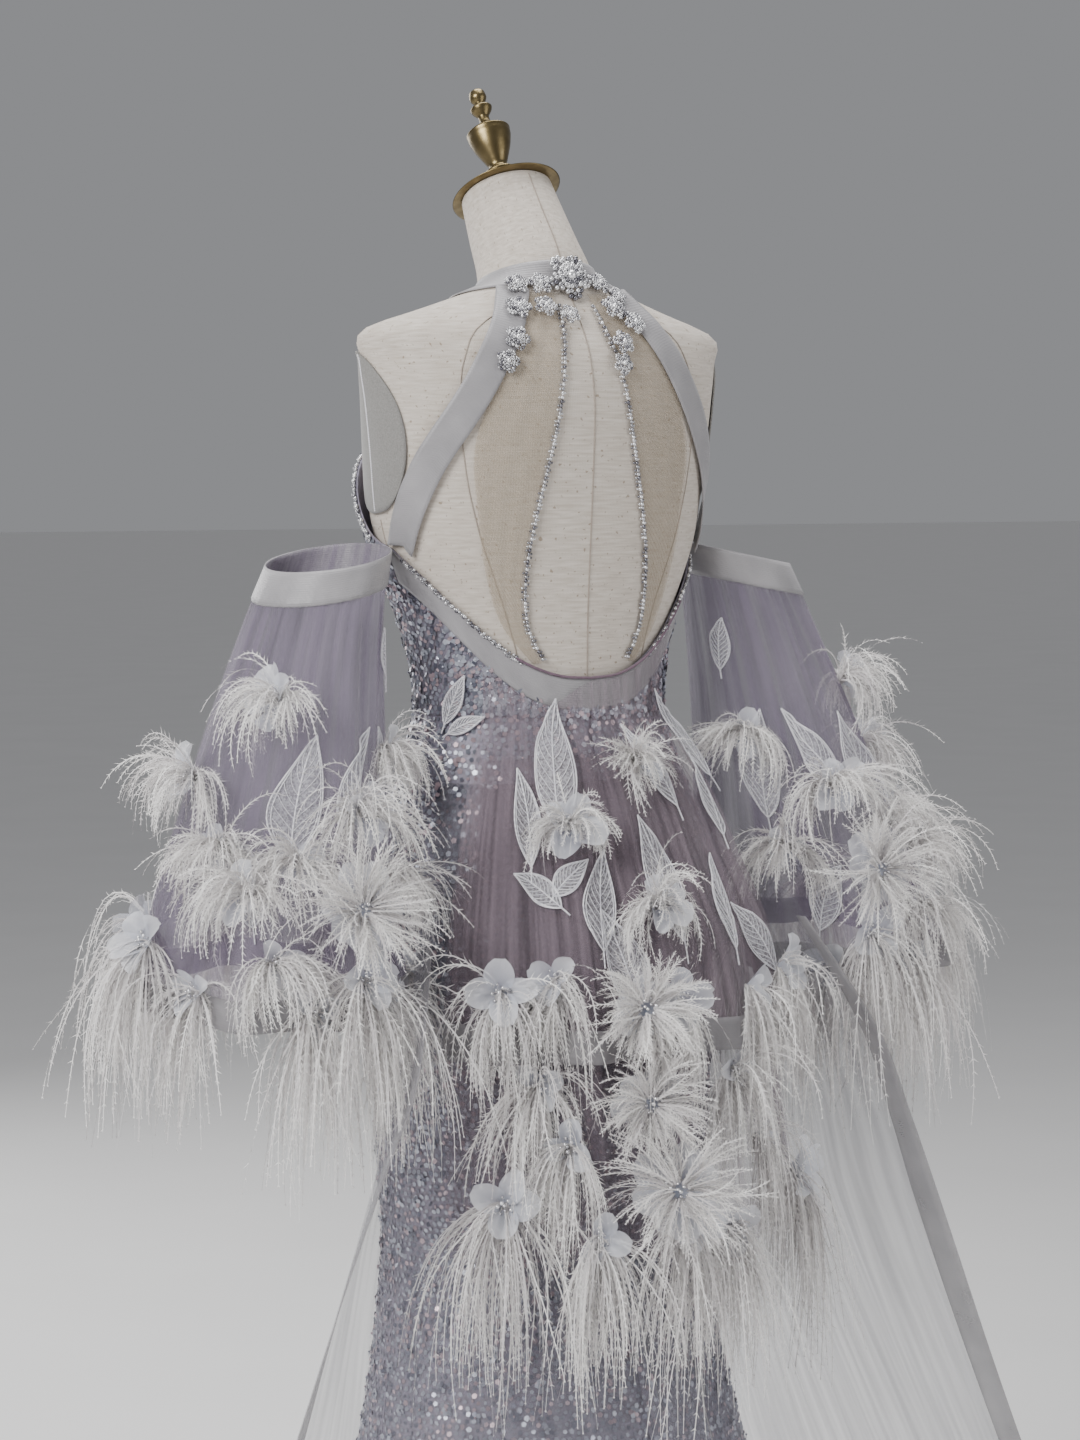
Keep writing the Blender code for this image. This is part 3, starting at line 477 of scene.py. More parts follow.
def train_free(level, share, side, out):
    """The hanging part of the train: share 0 at the centre back, 1 at the free side edge."""
    _, back, bulge_x, bulge_y, fold_x, fold_y, edge_x, edge_y = row_at(TRAIN_ROWS, level)
    points = ((0.0, back), (bulge_x, bulge_y), (fold_x, fold_y), (edge_x, edge_y))
    weights = (
        (1 - share) ** 3, 3 * share * (1 - share) ** 2, 3 * share ** 2 * (1 - share), share ** 3,
    )
    x = sum(w * p[0] for w, p in zip(weights, points))
    y = sum(w * p[1] for w, p in zip(weights, points))
    return Vector((side * x, y + out, level))


def train_seat(level, share, side, layer):
    """The gathered top of the train, which lies on the sheath."""
    degrees = 90 - side * TRAIN_TOP_TURN * share
    slack = (TRAIN_TOP - level) * TRAIN_SEAT_SLOPE
    skin = CLOTH_OUT + CLOTH_WALL + 2 * SEAM_GAP
    return form_point(level, degrees, skin + slack + layer * max(0.0, 1 - 5 * share))


def train_point(level, share, side, out=0.0):
    """A point of the train anywhere, with soft ripples that grow towards the hem."""
    layer = TRAIN_LAYER if side > 0 else 0.0
    if level >= TRAIN_SEAT_LEVEL + 0.015:
        point = train_seat(level, share, side, layer)
    else:
        low = train_free(min(level, TRAIN_JOIN_LEVEL), share, side, layer * (1 - share))
        high = train_seat(TRAIN_SEAT_LEVEL + 0.015, share, side, layer)
        rise = smooth_step(TRAIN_JOIN_LEVEL, TRAIN_SEAT_LEVEL + 0.015, level)
        point = low.lerp(high, rise)
        point.z = level
    lap = TRAIN_LAP * max(0.0, 1 - share / 0.1)
    point.x -= side * lap
    loose = smooth_step(0.80, 0.30, level)
    ripple = 0.0030 * math.sin(38 * share + 2.1 * side) + 0.0018 * math.sin(83 * share)
    point.y += out + (ripple * loose) * smooth_step(0.08, 0.2, share)
    return point


# Meshes, pieces and nodes

def srgb(colour):
    """A hex colour as the linear values that shaders take."""
    parts = [int(colour[i:i + 2], 16) / 255 for i in (0, 2, 4)]
    return (*[p / 12.92 if p <= 0.04045 else ((p + 0.055) / 1.055) ** 2.4 for p in parts], 1.0)


def add_node(tree, kind, settings=None, inputs=None):
    """Adds a node. An input that is given a socket is linked, any other is set."""
    made = tree.nodes.new(kind)
    for name, value in (settings or {}).items():
        setattr(made, name, value)
    for key, value in (inputs or {}).items():
        socket = made.inputs[key]
        if isinstance(value, bpy.types.NodeSocket):
            tree.links.new(value, socket)
        else:
            socket.default_value = value
    return made


def new_finish(name, colour, roughness, **constants):
    """A material with its constants on the shader's own sockets."""
    made = bpy.data.materials.new(name)
    made.use_nodes = True
    shader = made.node_tree.nodes["Principled BSDF"]
    shader.inputs["Base Color"].default_value = srgb(colour)
    shader.inputs["Roughness"].default_value = roughness
    for key, value in constants.items():
        shader.inputs[key.replace("_", " ")].default_value = value
    return made, made.node_tree, shader


def thread_scale(spacing):
    """The Wave texture's scale for threads this far apart."""
    return WAVE_PERIOD / spacing


MADE_FINISHES = {}


def finish(name):
    """The finish of this name, made at its first use."""
    if name not in MADE_FINISHES:
        MADE_FINISHES[name] = FINISHES[name](name)
    return MADE_FINISHES[name]


def link_piece(name, mesh, look, slot, nodes=()):
    """A finished piece at the origin that rides with the object and may stand for CAD nodes."""
    mesh.name = name
    mesh.materials.append(finish(look))
    obj = bpy.data.objects.new(name, mesh)
    bpy.context.scene.collection.objects.link(obj)
    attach(obj, BODY)
    if nodes:
        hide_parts(*nodes)
    return obj


def grid_mesh(name, columns, rows, place, cut, joined=False):
    """A grid whose corners go where place says. Its UV map is in metres of the flat cut."""
    bm = bmesh.new()
    bmesh.ops.create_grid(bm, x_segments=columns, y_segments=rows, size=0.5)
    uv = bm.loops.layers.uv.new("cut")
    for face in bm.faces:
        for loop in face.loops:
            loop[uv].uv = ((loop.vert.co.x + 0.5) * cut[0], (loop.vert.co.y + 0.5) * cut[1])
    for vert in bm.verts:
        vert.co = place(vert.co.x + 0.5, vert.co.y + 0.5)
    if joined:
        bmesh.ops.remove_doubles(bm, verts=bm.verts, dist=1e-6)
    mesh = bpy.data.meshes.new(name)
    bm.to_mesh(mesh)
    bm.free()
    mesh.shade_smooth()
    return mesh


def cloth(name, node, size, place, wall, look, slot, cut, area=None, joined=False):
    """A cloth piece: a thin wall whose inner side lies where place says."""
    columns, rows = size
    mesh = grid_mesh(name, columns, rows, place, cut, joined)
    obj = link_piece(name, mesh, look, slot, (node,) if node else ())
    shell = obj.modifiers.new("wall", "SOLIDIFY")
    shell.thickness = wall
    shell.offset = 1.0
    return obj


def turned_mesh(name, profile, steps, rounds):
    """A turned piece: the profile is smoothed through its points and spun round Z."""
    path = [Vector((radius, 0.0, height)) for radius, height in profile]
    smooth = []
    for i in range(len(path) - 1):
        before, after = path[max(i - 1, 0)], path[min(i + 2, len(path) - 1)]
        for step in range(rounds):
            t = step / rounds
            a = path[i] + (path[i + 1] - before) * t / 2
            b = path[i + 1] - (after - path[i]) * (1 - t) / 2
            point = a.lerp(b, t * t * (3 - 2 * t))
            point.x = max(point.x, min(path[i].x, path[i + 1].x))
            smooth.append(point)
    smooth.append(path[-1])
    bm = bmesh.new()
    verts = [bm.verts.new(point) for point in smooth]
    if profile[0][0] > 0:
        verts.append(verts[0])
    edges = [bm.edges.new(pair) for pair in zip(verts, verts[1:])]
    bmesh.ops.spin(
        bm, geom=edges + list(dict.fromkeys(verts)), cent=(0, 0, 0), axis=(0, 0, 1),
        dvec=(0, 0, 0), angle=2 * math.pi, steps=steps, use_merge=True, use_duplicate=False,
    )
    bmesh.ops.remove_doubles(bm, verts=bm.verts, dist=1e-6)
    bmesh.ops.recalc_face_normals(bm, faces=bm.faces)
    mesh = bpy.data.meshes.new(name)
    bm.to_mesh(mesh)
    bm.free()
    mesh.shade_smooth()
    return mesh


class Bundle:
    """Many small shapes gathered into one mesh, each with its own shade from 0 to 1."""

    def __init__(self):
        self.verts = []
        self.faces = []
        self.shades = []
        self.count = 0

    def add(self, verts, faces, shade):
        verts = np.asarray(verts, dtype=float).reshape(-1, 3)
        self.verts.append(verts)
        self.shades.append(np.broadcast_to(shade, len(verts)).astype(np.float32))
        self.faces.extend((np.asarray(faces) + self.count).tolist())
        self.count += len(verts)

    def mesh(self, name, smooth=True):
        mesh = bpy.data.meshes.new(name)
        mesh.from_pydata(np.concatenate(self.verts).tolist(), [], self.faces)
        layer = mesh.attributes.new("shade", "FLOAT", "POINT")
        layer.data.foreach_set("value", np.concatenate(self.shades))
        if smooth:
            mesh.shade_smooth()
        return mesh


def unit(vectors):
    return vectors / np.maximum(np.linalg.norm(vectors, axis=-1, keepdims=True), 1e-9)


def grid_faces(rows, columns):
    """The quads of a grid of corners listed row by row."""
    wide = columns + 1
    return [
        (r * wide + c, r * wide + c + 1, (r + 1) * wide + c + 1, (r + 1) * wide + c)
        for r in range(rows) for c in range(columns)
    ]


def ribbons(paths, across):
    """Joined ribbons from paths (n, k, 3) and their half widths as vectors (n, k, 3)."""
    n, k = paths.shape[:2]
    verts = np.stack([paths - across, paths + across], axis=2)
    base = (np.arange(n)[:, None] * k + np.arange(k - 1)[None, :]) * 2
    quads = np.stack([base, base + 1, base + 3, base + 2], axis=-1)
    return verts.reshape(-1, 3), quads.reshape(-1, 4)


def strand(points, out, radius, sides=5):
    """A round cord along points; out is the way the surface under it faces."""
    path = np.array([tuple(p) for p in points])
    along = unit(np.gradient(path, axis=0))
    aside = unit(np.cross(along, np.asarray(out)))
    up = np.cross(aside, along)
    turns = np.arange(sides) * 2 * math.pi / sides
    rings = (
        path[:, None]
        + aside[:, None] * (np.cos(turns)[None, :, None] * radius)
        + up[:, None] * (np.sin(turns)[None, :, None] * radius)
    )
    k = len(path)
    start = np.arange(k - 1)[:, None] * sides
    here, following = np.arange(sides), (np.arange(sides) + 1) % sides
    quads = np.stack([start + here, start + following, start + sides + following,
                      start + sides + here], axis=-1)
    return rings.reshape(-1, 3), quads.reshape(-1, 4)


def bead_shape():
    """The corners and faces of a small bead, made once and repeated."""
    bm = bmesh.new()
    bmesh.ops.create_icosphere(bm, subdivisions=1, radius=1.0)
    corners = np.array([tuple(vert.co) for vert in bm.verts])
    faces = np.array([[vert.index for vert in face.verts] for face in bm.faces])
    bm.free()
    return corners, faces


BEAD_CORNERS, BEAD_FACES = bead_shape()


def add_bead(bundle, centre, radius, shade=0.5):
    bundle.add(BEAD_CORNERS * radius + np.asarray(centre), BEAD_FACES, shade)


def disc_frames(centres, normals, rng, tilt):
    """Two directions across each small disc, tilted a little at random."""
    normals = unit(normals + rng.normal(0, tilt, normals.shape))
    seed = unit(rng.normal(0, 1, normals.shape))
    across = unit(np.cross(normals, seed))
    return across, np.cross(normals, across)


def add_discs(bundle, centres, normals, radii, rng, tilt, sides=5):
    """Flat sequins at the centres."""
    across, upright = disc_frames(centres, normals, rng, tilt)
    turns = np.arange(sides) * 2 * math.pi / sides
    reach = radii[:, None, None]
    verts = (
        centres[:, None]
        + across[:, None] * np.cos(turns)[None, :, None] * reach
        + upright[:, None] * np.sin(turns)[None, :, None] * reach
    )
    faces = np.arange(len(centres) * sides).reshape(-1, sides)
    bundle.add(verts, faces, np.repeat(rng.uniform(0, 1, len(centres)), sides))


# Finishes

def slubbed_linen(name):
    """Unbleached linen, plain woven: slubbed threads, drawn at 1.5 mm so that they show."""
    made, tree, shader = new_finish(name, "D9D1C8", 0.92, Sheen_Weight=0.15)
    cut = add_node(tree, "ShaderNodeUVMap", {"uv_map": "cut"}).outputs["UV"]
    slub = add_node(tree, "ShaderNodeMapping", inputs={"Vector": cut, "Scale": (40, 420, 1)})
    slubs = add_node(tree, "ShaderNodeTexNoise", inputs={"Vector": slub.outputs[0], "Scale": 1.0})
    weft = add_node(tree, "ShaderNodeTexWave", {"bands_direction": "Y"}, {
        "Vector": cut, "Scale": thread_scale(0.0015), "Distortion": 1.5, "Detail": 2.0})
    warp = add_node(tree, "ShaderNodeTexWave", {"bands_direction": "X"}, {
        "Vector": cut, "Scale": thread_scale(0.0015), "Distortion": 1.5, "Detail": 2.0})
    weave = add_node(tree, "ShaderNodeMath", {"operation": "MULTIPLY"}, {
        0: weft.outputs["Fac"], 1: warp.outputs["Fac"]})
    shade = add_node(tree, "ShaderNodeMath", {"operation": "MULTIPLY_ADD"}, {
        0: slubs.outputs["Fac"], 1: 1.7, 2: -0.50})
    tone = add_node(tree, "ShaderNodeMix", {"data_type": "RGBA"}, {
        0: shade.outputs[0], 6: srgb("C2B7AA"), 7: srgb("E4DCD2")})
    specks = add_node(tree, "ShaderNodeTexNoise", inputs={"Vector": cut, "Scale": 210.0})
    speck = add_node(tree, "ShaderNodeMapRange", inputs={
        "Value": specks.outputs["Fac"], "From Min": 0.645, "From Max": 0.70, "To Max": 0.75})
    tone = add_node(tree, "ShaderNodeMix", {"data_type": "RGBA"}, {
        0: speck.outputs[0], 6: tone.outputs[2], 7: srgb("8C7962")})
    bump = add_node(tree, "ShaderNodeBump", inputs={
        "Strength": 0.35, "Distance": 0.0006, "Height": weave.outputs[0]})
    tree.links.new(tone.outputs[2], shader.inputs["Base Color"])
    tree.links.new(bump.outputs[0], shader.inputs["Normal"])
    return made


def pressed_felt(name):
    """Pressed wool felt with lighter hairs and no weave, in a grey that is partly the felt's own colour and
    partly painted shade where the plates lie in shadow.
    """
    made, tree, shader = new_finish(name, "84827F", 0.96, Sheen_Weight=0.3)
    place = add_node(tree, "ShaderNodeTexCoord").outputs["Object"]
    hairs = add_node(tree, "ShaderNodeTexNoise", inputs={
        "Vector": place, "Scale": 700.0, "Detail": 3.0, "Roughness": 0.7})
    tone = add_node(tree, "ShaderNodeMix", {"data_type": "RGBA"}, {
        0: hairs.outputs["Fac"], 6: srgb("5F5D5B"), 7: srgb("A5A39F")})
    bump = add_node(tree, "ShaderNodeBump", inputs={
        "Strength": 0.3, "Distance": 0.0005, "Height": hairs.outputs["Fac"]})
    tree.links.new(tone.outputs[2], shader.inputs["Base Color"])
    tree.links.new(bump.outputs[0], shader.inputs["Normal"])
    return made


def aged_brass(name):
    """Turned brass, darkened with age in its hollows and rubbed bright on its rims."""
    made, tree, shader = new_finish(name, "867246", 0.32, Metallic=1.0)
    place = add_node(tree, "ShaderNodeTexCoord").outputs["Object"]
    patina = add_node(tree, "ShaderNodeTexNoise", inputs={
        "Vector": place, "Scale": 90.0, "Detail": 5.0})
    tone = add_node(tree, "ShaderNodeMix", {"data_type": "RGBA"}, {
        0: patina.outputs["Fac"], 6: srgb("4B4128"), 7: srgb("978662")})
    rough = add_node(tree, "ShaderNodeMapRange", inputs={
        "Value": patina.outputs["Fac"], "To Min": 0.45, "To Max": 0.22})
    tree.links.new(tone.outputs[2], shader.inputs["Base Color"])
    tree.links.new(rough.outputs[0], shader.inputs["Roughness"])
    return made


def black_enamel(name):
    """Black satin paint on steel, with the slight orange peel of spray."""
    made, tree, shader = new_finish(name, "2A292B", 0.42, IOR=1.5)
    place = add_node(tree, "ShaderNodeTexCoord").outputs["Object"]
    peel = add_node(tree, "ShaderNodeTexNoise", inputs={
        "Vector": place, "Scale": 350.0, "Detail": 2.0})
    bump = add_node(tree, "ShaderNodeBump", inputs={
        "Strength": 0.12, "Distance": 0.0004, "Height": peel.outputs["Fac"]})
    rough = add_node(tree, "ShaderNodeMapRange", inputs={
        "Value": peel.outputs["Fac"], "To Min": 0.34, "To Max": 0.50})
    tree.links.new(bump.outputs[0], shader.inputs["Normal"])
    tree.links.new(rough.outputs[0], shader.inputs["Roughness"])
    return made


def sequin_ground(name):
    """Net under the sequins, grey-lilac, close with the smallest sequins that lie flat."""
    made, tree, shader = new_finish(name, "7B7984", 0.5, Metallic=0.2)
    place = add_node(tree, "ShaderNodeTexCoord").outputs["Object"]
    cells = add_node(tree, "ShaderNodeTexVoronoi", inputs={"Vector": place, "Scale": 330.0})
    tint = add_node(tree, "ShaderNodeSeparateColor", inputs={"Color": cells.outputs["Color"]})
    patch = add_node(tree, "ShaderNodeTexNoise", inputs={"Vector": place, "Scale": 14.0})
    warm = add_node(tree, "ShaderNodeMix", {"data_type": "RGBA"}, {
        0: patch.outputs["Fac"], 6: srgb("666670"), 7: srgb("8F868F")})
    tone = add_node(tree, "ShaderNodeMix", {"data_type": "RGBA", "blend_type": "OVERLAY"}, {
        0: tint.outputs[0], 6: warm.outputs[2], 7: srgb("D5D6DE")})
    bump = add_node(tree, "ShaderNodeBump", inputs={
        "Strength": 0.55, "Distance": 0.0010, "Height": tint.outputs[1]})
    tree.links.new(tone.outputs[2], shader.inputs["Base Color"])
    tree.links.new(bump.outputs[0], shader.inputs["Normal"])
    return made


def sequins(name):
    """Cupped film sequins, silver with some in pale pink: each has its own shade."""
    made, tree, shader = new_finish(name, "B4B3BC", 0.30, Metallic=0.6)
    shade = add_node(tree, "ShaderNodeAttribute", {"attribute_name": "shade"}).outputs["Fac"]
    rosy = add_node(tree, "ShaderNodeMath", {"operation": "GREATER_THAN"}, {0: shade, 1: 0.80})
    silver = add_node(tree, "ShaderNodeMix", {"data_type": "RGBA"}, {
        0: shade, 6: srgb("646574"), 7: srgb("D3D7E2")})
    tone = add_node(tree, "ShaderNodeMix", {"data_type": "RGBA"}, {
        0: rosy.outputs[0], 6: silver.outputs[2], 7: srgb("BFAAB0")})
    tree.links.new(tone.outputs[2], shader.inputs["Base Color"])
    return made


def tulle_look(name, low, high, across, colours):
    """Fine silk tulle: its 1 mm mesh is too fine to show, so it is seen through, and its small
    pleats, drawn along the cut, are where it is denser."""
    made, tree, shader = new_finish(name, colours[0], 0.85, Sheen_Weight=0.25)
    cut = add_node(tree, "ShaderNodeUVMap", {"uv_map": "cut"}).outputs["UV"]
    drawn = add_node(tree, "ShaderNodeMapping", inputs={"Vector": cut, "Scale": (across, 4, 1)})
    pleats = add_node(tree, "ShaderNodeTexNoise", inputs={
        "Vector": drawn.outputs[0], "Scale": 1.0, "Detail": 2.0})
    dense = add_node(tree, "ShaderNodeMapRange", inputs={
        "Value": pleats.outputs["Fac"], "From Min": 0.35, "From Max": 0.70,
        "To Min": low, "To Max": high})
    patch = add_node(tree, "ShaderNodeTexNoise", inputs={"Vector": cut, "Scale": 9.0})
    tone = add_node(tree, "ShaderNodeMix", {"data_type": "RGBA"}, {
        0: patch.outputs["Fac"], 6: srgb(colours[0]), 7: srgb(colours[1])})
    tree.links.new(tone.outputs[2], shader.inputs["Base Color"])
    tree.links.new(dense.outputs[0], shader.inputs["Alpha"])
    return made


def tulle(name):
    """Lavender tulle, as the sleeves are made of."""
    return tulle_look(name, 0.13, 0.40, 70, ("70657C", "9A8EA2"))


def cape_tulle(name):
    """Mauve tulle of the cape, thin enough for the sequins to show through."""
    return tulle_look(name, 0.08, 0.30, 120, ("81727F", "AB9BA4"))


def train_tulle(name):
    """Grey tulle of the train, in one flat layer."""
    return tulle_look(name, 0.10, 0.28, 60, ("76747F", "9A98A3"))


def stretch_net(name):
    """Stretch net in a skin beige, two sets of threads drawn 2 mm apart so that they show."""
    made, tree, shader = new_finish(name, "B9AA94", 0.8, Sheen_Weight=0.2)
    cut = add_node(tree, "ShaderNodeUVMap", {"uv_map": "cut"}).outputs["UV"]
    weft = add_node(tree, "ShaderNodeTexWave", {"bands_direction": "DIAGONAL"}, {
        "Vector": cut, "Scale": thread_scale(0.0034)})
    warp = add_node(tree, "ShaderNodeTexWave", {"bands_direction": "X"}, {
        "Vector": cut, "Scale": thread_scale(0.0020)})
    threads = add_node(tree, "ShaderNodeMath", {"operation": "MAXIMUM"}, {
        0: weft.outputs["Fac"], 1: warp.outputs["Fac"]})
    dense = add_node(tree, "ShaderNodeMapRange", inputs={
        "Value": threads.outputs[0], "To Min": 0.12, "To Max": 0.30})
    tree.links.new(dense.outputs[0], shader.inputs["Alpha"])
    return made


def ribbon_look(name, alpha):
    """Horsehair braid faced with satin: fine ribs along its length and a soft shine."""
    made, tree, shader = new_finish(name, "949295", 0.42, Sheen_Weight=0.2, Alpha=alpha)
    cut = add_node(tree, "ShaderNodeUVMap", {"uv_map": "cut"}).outputs["UV"]
    ribs = add_node(tree, "ShaderNodeTexWave", {"bands_direction": "Y"}, {
        "Vector": cut, "Scale": thread_scale(0.0022), "Distortion": 0.6})
    cross = add_node(tree, "ShaderNodeTexWave", {"bands_direction": "DIAGONAL"}, {
        "Vector": cut, "Scale": thread_scale(0.0030), "Distortion": 0.4})
    braid = add_node(tree, "ShaderNodeMath", {"operation": "MULTIPLY_ADD"}, {
        0: cross.outputs["Fac"], 1: 0.5, 2: ribs.outputs["Fac"]})
    sheen = add_node(tree, "ShaderNodeTexNoise", inputs={"Vector": cut, "Scale": 22.0})
    tone = add_node(tree, "ShaderNodeMix", {"data_type": "RGBA"}, {
        0: sheen.outputs["Fac"], 6: srgb("7D7B7E"), 7: srgb("B3B0B2")})
    bump = add_node(tree, "ShaderNodeBump", inputs={
        "Strength": 0.25, "Distance": 0.0005, "Height": braid.outputs[0]})
    tree.links.new(tone.outputs[2], shader.inputs["Base Color"])
    tree.links.new(bump.outputs[0], shader.inputs["Normal"])
    return made


def satin_ribbon(name):
    """The close braid of the straps and bands."""
    return ribbon_look(name, 1.0)


def sheer_band(name):
    """The open braid that stiffens the hems, half seen through."""
    return ribbon_look(name, 0.5)


def lace_ground(name):
    """Fine net within the corded leaves, filled with white darning stitches."""
    made, tree, shader = new_finish(name, "E4E4EA", 0.6, Sheen_Weight=0.2)
    place = add_node(tree, "ShaderNodeTexCoord").outputs["Object"]
    stitches = add_node(tree, "ShaderNodeTexNoise", inputs={
        "Vector": place, "Scale": 420.0, "Detail": 2.0})
    dense = add_node(tree, "ShaderNodeMapRange", inputs={
        "Value": stitches.outputs["Fac"], "From Min": 0.35, "From Max": 0.65,
        "To Min": 0.16, "To Max": 0.50})
    tree.links.new(dense.outputs[0], shader.inputs["Alpha"])
    return made


def cut_glass(name):
    """Cut glass beads and foiled stones: bright, hard highlights on a pale silver."""
    made, tree, shader = new_finish(name, "D9DCE4", 0.10, Metallic=0.75, Coat_Weight=0.6)
    shade = add_node(tree, "ShaderNodeAttribute", {"attribute_name": "shade"}).outputs["Fac"]
    tone = add_node(tree, "ShaderNodeMix", {"data_type": "RGBA"}, {
        0: shade, 6: srgb("5C5A63"), 7: srgb("FCFCFD")})
    tree.links.new(tone.outputs[2], shader.inputs["Base Color"])
    return made


def ostrich_plume(name):
    """Ostrich feather, ivory, soft and matt: the cooler, darker colour towards the root is painted shade
    where the strands crowd together, over a tone that differs at random from strand to strand.
    """
    made, tree, shader = new_finish(name, "EFEBEA", 0.75, Sheen_Weight=0.4)
    shade = add_node(tree, "ShaderNodeAttribute", {"attribute_name": "shade"}).outputs["Fac"]
    tone = add_node(tree, "ShaderNodeMix", {"data_type": "RGBA"}, {
        0: shade, 6: srgb("C0BABC"), 7: srgb("FFFDF9")})
    tree.links.new(tone.outputs[2], shader.inputs["Base Color"])
    return made


def organza(name):
    """Silk organza petals, white with a cool cast, crisp and a little seen through: the darker, bluer end of
    their colour is painted shade at each petal's root.
    """
    made, tree, shader = new_finish(name, "DFE1E8", 0.45, Sheen_Weight=0.3, Alpha=0.50)
    shade = add_node(tree, "ShaderNodeAttribute", {"attribute_name": "shade"}).outputs["Fac"]
    tone = add_node(tree, "ShaderNodeMix", {"data_type": "RGBA"}, {
        0: shade, 6: srgb("B3BBD0"), 7: srgb("F6F7FC")})
    tree.links.new(tone.outputs[2], shader.inputs["Base Color"])
    return made


def white_cord(name):
    """Twisted rayon cord, white: its turns, 1.2 mm apart, catch the light."""
    made, tree, shader = new_finish(name, "EDEBEF", 0.5, Sheen_Weight=0.2)
    place = add_node(tree, "ShaderNodeTexCoord").outputs["Object"]
    twist = add_node(tree, "ShaderNodeTexWave", {"bands_direction": "DIAGONAL"}, {
        "Vector": place, "Scale": thread_scale(0.0012)})
    bump = add_node(tree, "ShaderNodeBump", inputs={
        "Strength": 0.3, "Distance": 0.0004, "Height": twist.outputs["Fac"]})
    tone = add_node(tree, "ShaderNodeMix", {"data_type": "RGBA"}, {
        0: twist.outputs["Fac"], 6: srgb("CFCDD6"), 7: srgb("F6F5F7")})
    tree.links.new(tone.outputs[2], shader.inputs["Base Color"])
    tree.links.new(bump.outputs[0], shader.inputs["Normal"])
    return made


def seam_thread(name):
    """The closed seams of the form's cover: raised lines coloured darker than its linen, as painted shadow
    along each seam.
    """
    made, tree, shader = new_finish(name, "8F8379", 0.9)
    place = add_node(tree, "ShaderNodeTexCoord").outputs["Object"]
    stitches = add_node(tree, "ShaderNodeTexNoise", inputs={"Vector": place, "Scale": 400.0})
    tone = add_node(tree, "ShaderNodeMix", {"data_type": "RGBA"}, {
        0: stitches.outputs["Fac"], 6: srgb("8A7D72"), 7: srgb("B3A89C")})
    tree.links.new(tone.outputs[2], shader.inputs["Base Color"])
    return made


def mauve_piping(name):
    """Satin piping in dark mauve."""
    made, tree, shader = new_finish(name, "6B5563", 0.4, Sheen_Weight=0.2)
    place = add_node(tree, "ShaderNodeTexCoord").outputs["Object"]
    twill = add_node(tree, "ShaderNodeTexNoise", inputs={"Vector": place, "Scale": 260.0})
    tone = add_node(tree, "ShaderNodeMix", {"data_type": "RGBA"}, {
        0: twill.outputs["Fac"], 6: srgb("55414E"), 7: srgb("83697A")})
    tree.links.new(tone.outputs[2], shader.inputs["Base Color"])
    return made


def pale_floor(name):
    """A plain painted studio floor, matt, with a faint mottle."""
    made, tree, shader = new_finish(name, "F1F0EF", 0.8)
    place = add_node(tree, "ShaderNodeTexCoord").outputs["Object"]
    mottle = add_node(tree, "ShaderNodeTexNoise", inputs={"Vector": place, "Scale": 3.0})
    tone = add_node(tree, "ShaderNodeMix", {"data_type": "RGBA"}, {
        0: mottle.outputs["Fac"], 6: srgb("EDECEB"), 7: srgb("F4F3F2")})
    tree.links.new(tone.outputs[2], shader.inputs["Base Color"])
    return made


FINISHES = {
    "slubbed_linen": slubbed_linen,
    "pressed_felt": pressed_felt,
    "aged_brass": aged_brass,
    "black_enamel": black_enamel,
    "sequin_ground": sequin_ground,
    "sequins": sequins,
    "tulle": tulle,
    "cape_tulle": cape_tulle,
    "train_tulle": train_tulle,
    "stretch_net": stretch_net,
    "satin_ribbon": satin_ribbon,
    "sheer_band": sheer_band,
    "lace_ground": lace_ground,
    "cut_glass": cut_glass,
    "ostrich_plume": ostrich_plume,
    "organza": organza,
    "white_cord": white_cord,
    "seam_thread": seam_thread,
    "mauve_piping": mauve_piping,
    "pale_floor": pale_floor,
}


# Settings

class GownSettings(bpy.types.PropertyGroup):
    """Sizes and colours that a user would change."""

    sequin_radius: FloatProperty(
        name="Sequin radius", description="Radius of the larger sequins on the sheath",
        default=0.0026, min=0.001, max=0.006, unit="LENGTH", precision=4)
    sequin_pitch: FloatProperty(
        name="Sequin spacing", description="Distance between the rows of sequins",
        default=0.0066, min=0.004, max=0.02, unit="LENGTH", precision=4)
    clumps: IntProperty(
        name="Clumps", description="Clumps of strands in each lock of a feather flower",
        default=8, min=2, max=16)
    barb_length: FloatProperty(
        name="Barb length", description="Length of the longest barbs of a strand",
        default=0.0085, min=0.002, max=0.03, unit="LENGTH", precision=4)
    backdrop: FloatVectorProperty(
        name="Backdrop", description="Colour of the studio behind the gown", subtype="COLOR",
        default=srgb("A2A3A6")[:3], size=3, min=0.0, max=1.0)
    light_power: FloatProperty(
        name="Key light", description="Power of the large soft light", default=125.0, min=0.0,
        unit="POWER")


# Dress form and stand

# Seams of the form's cover: level, degrees, on one half of the body
FORM_SEAMS = (
    ((0.725, 90), (0.850, 90), (1.000, 90), (1.150, 90), (1.300, 90), (1.395, 90), (1.430, 90),
     (1.500, 90)),
    ((0.725, 58), (0.850, 57), (1.030, 60), (1.150, 52), (1.250, 45), (1.330, 48), (1.385, 62)),
    ((0.725, 0), (0.850, 0), (1.030, 0), (1.150, -2), (1.205, -4)),
    ((0.725, 302), (0.850, 303), (1.030, 301), (1.180, 305), (1.260, 318), (1.345, 320),
     (1.390, 300)),
    ((0.725, 270), (0.850, 270), (1.030, 270), (1.180, 270), (1.300, 270), (1.395, 270),
     (1.500, 270)),
)
SEAM_RADIUS = 0.0007
PLATE_LEVEL = 1.283
PLATE_TURN = -6
PLATE_HALF_HEIGHT = 0.072
PLATE_HALF_TURN = 27


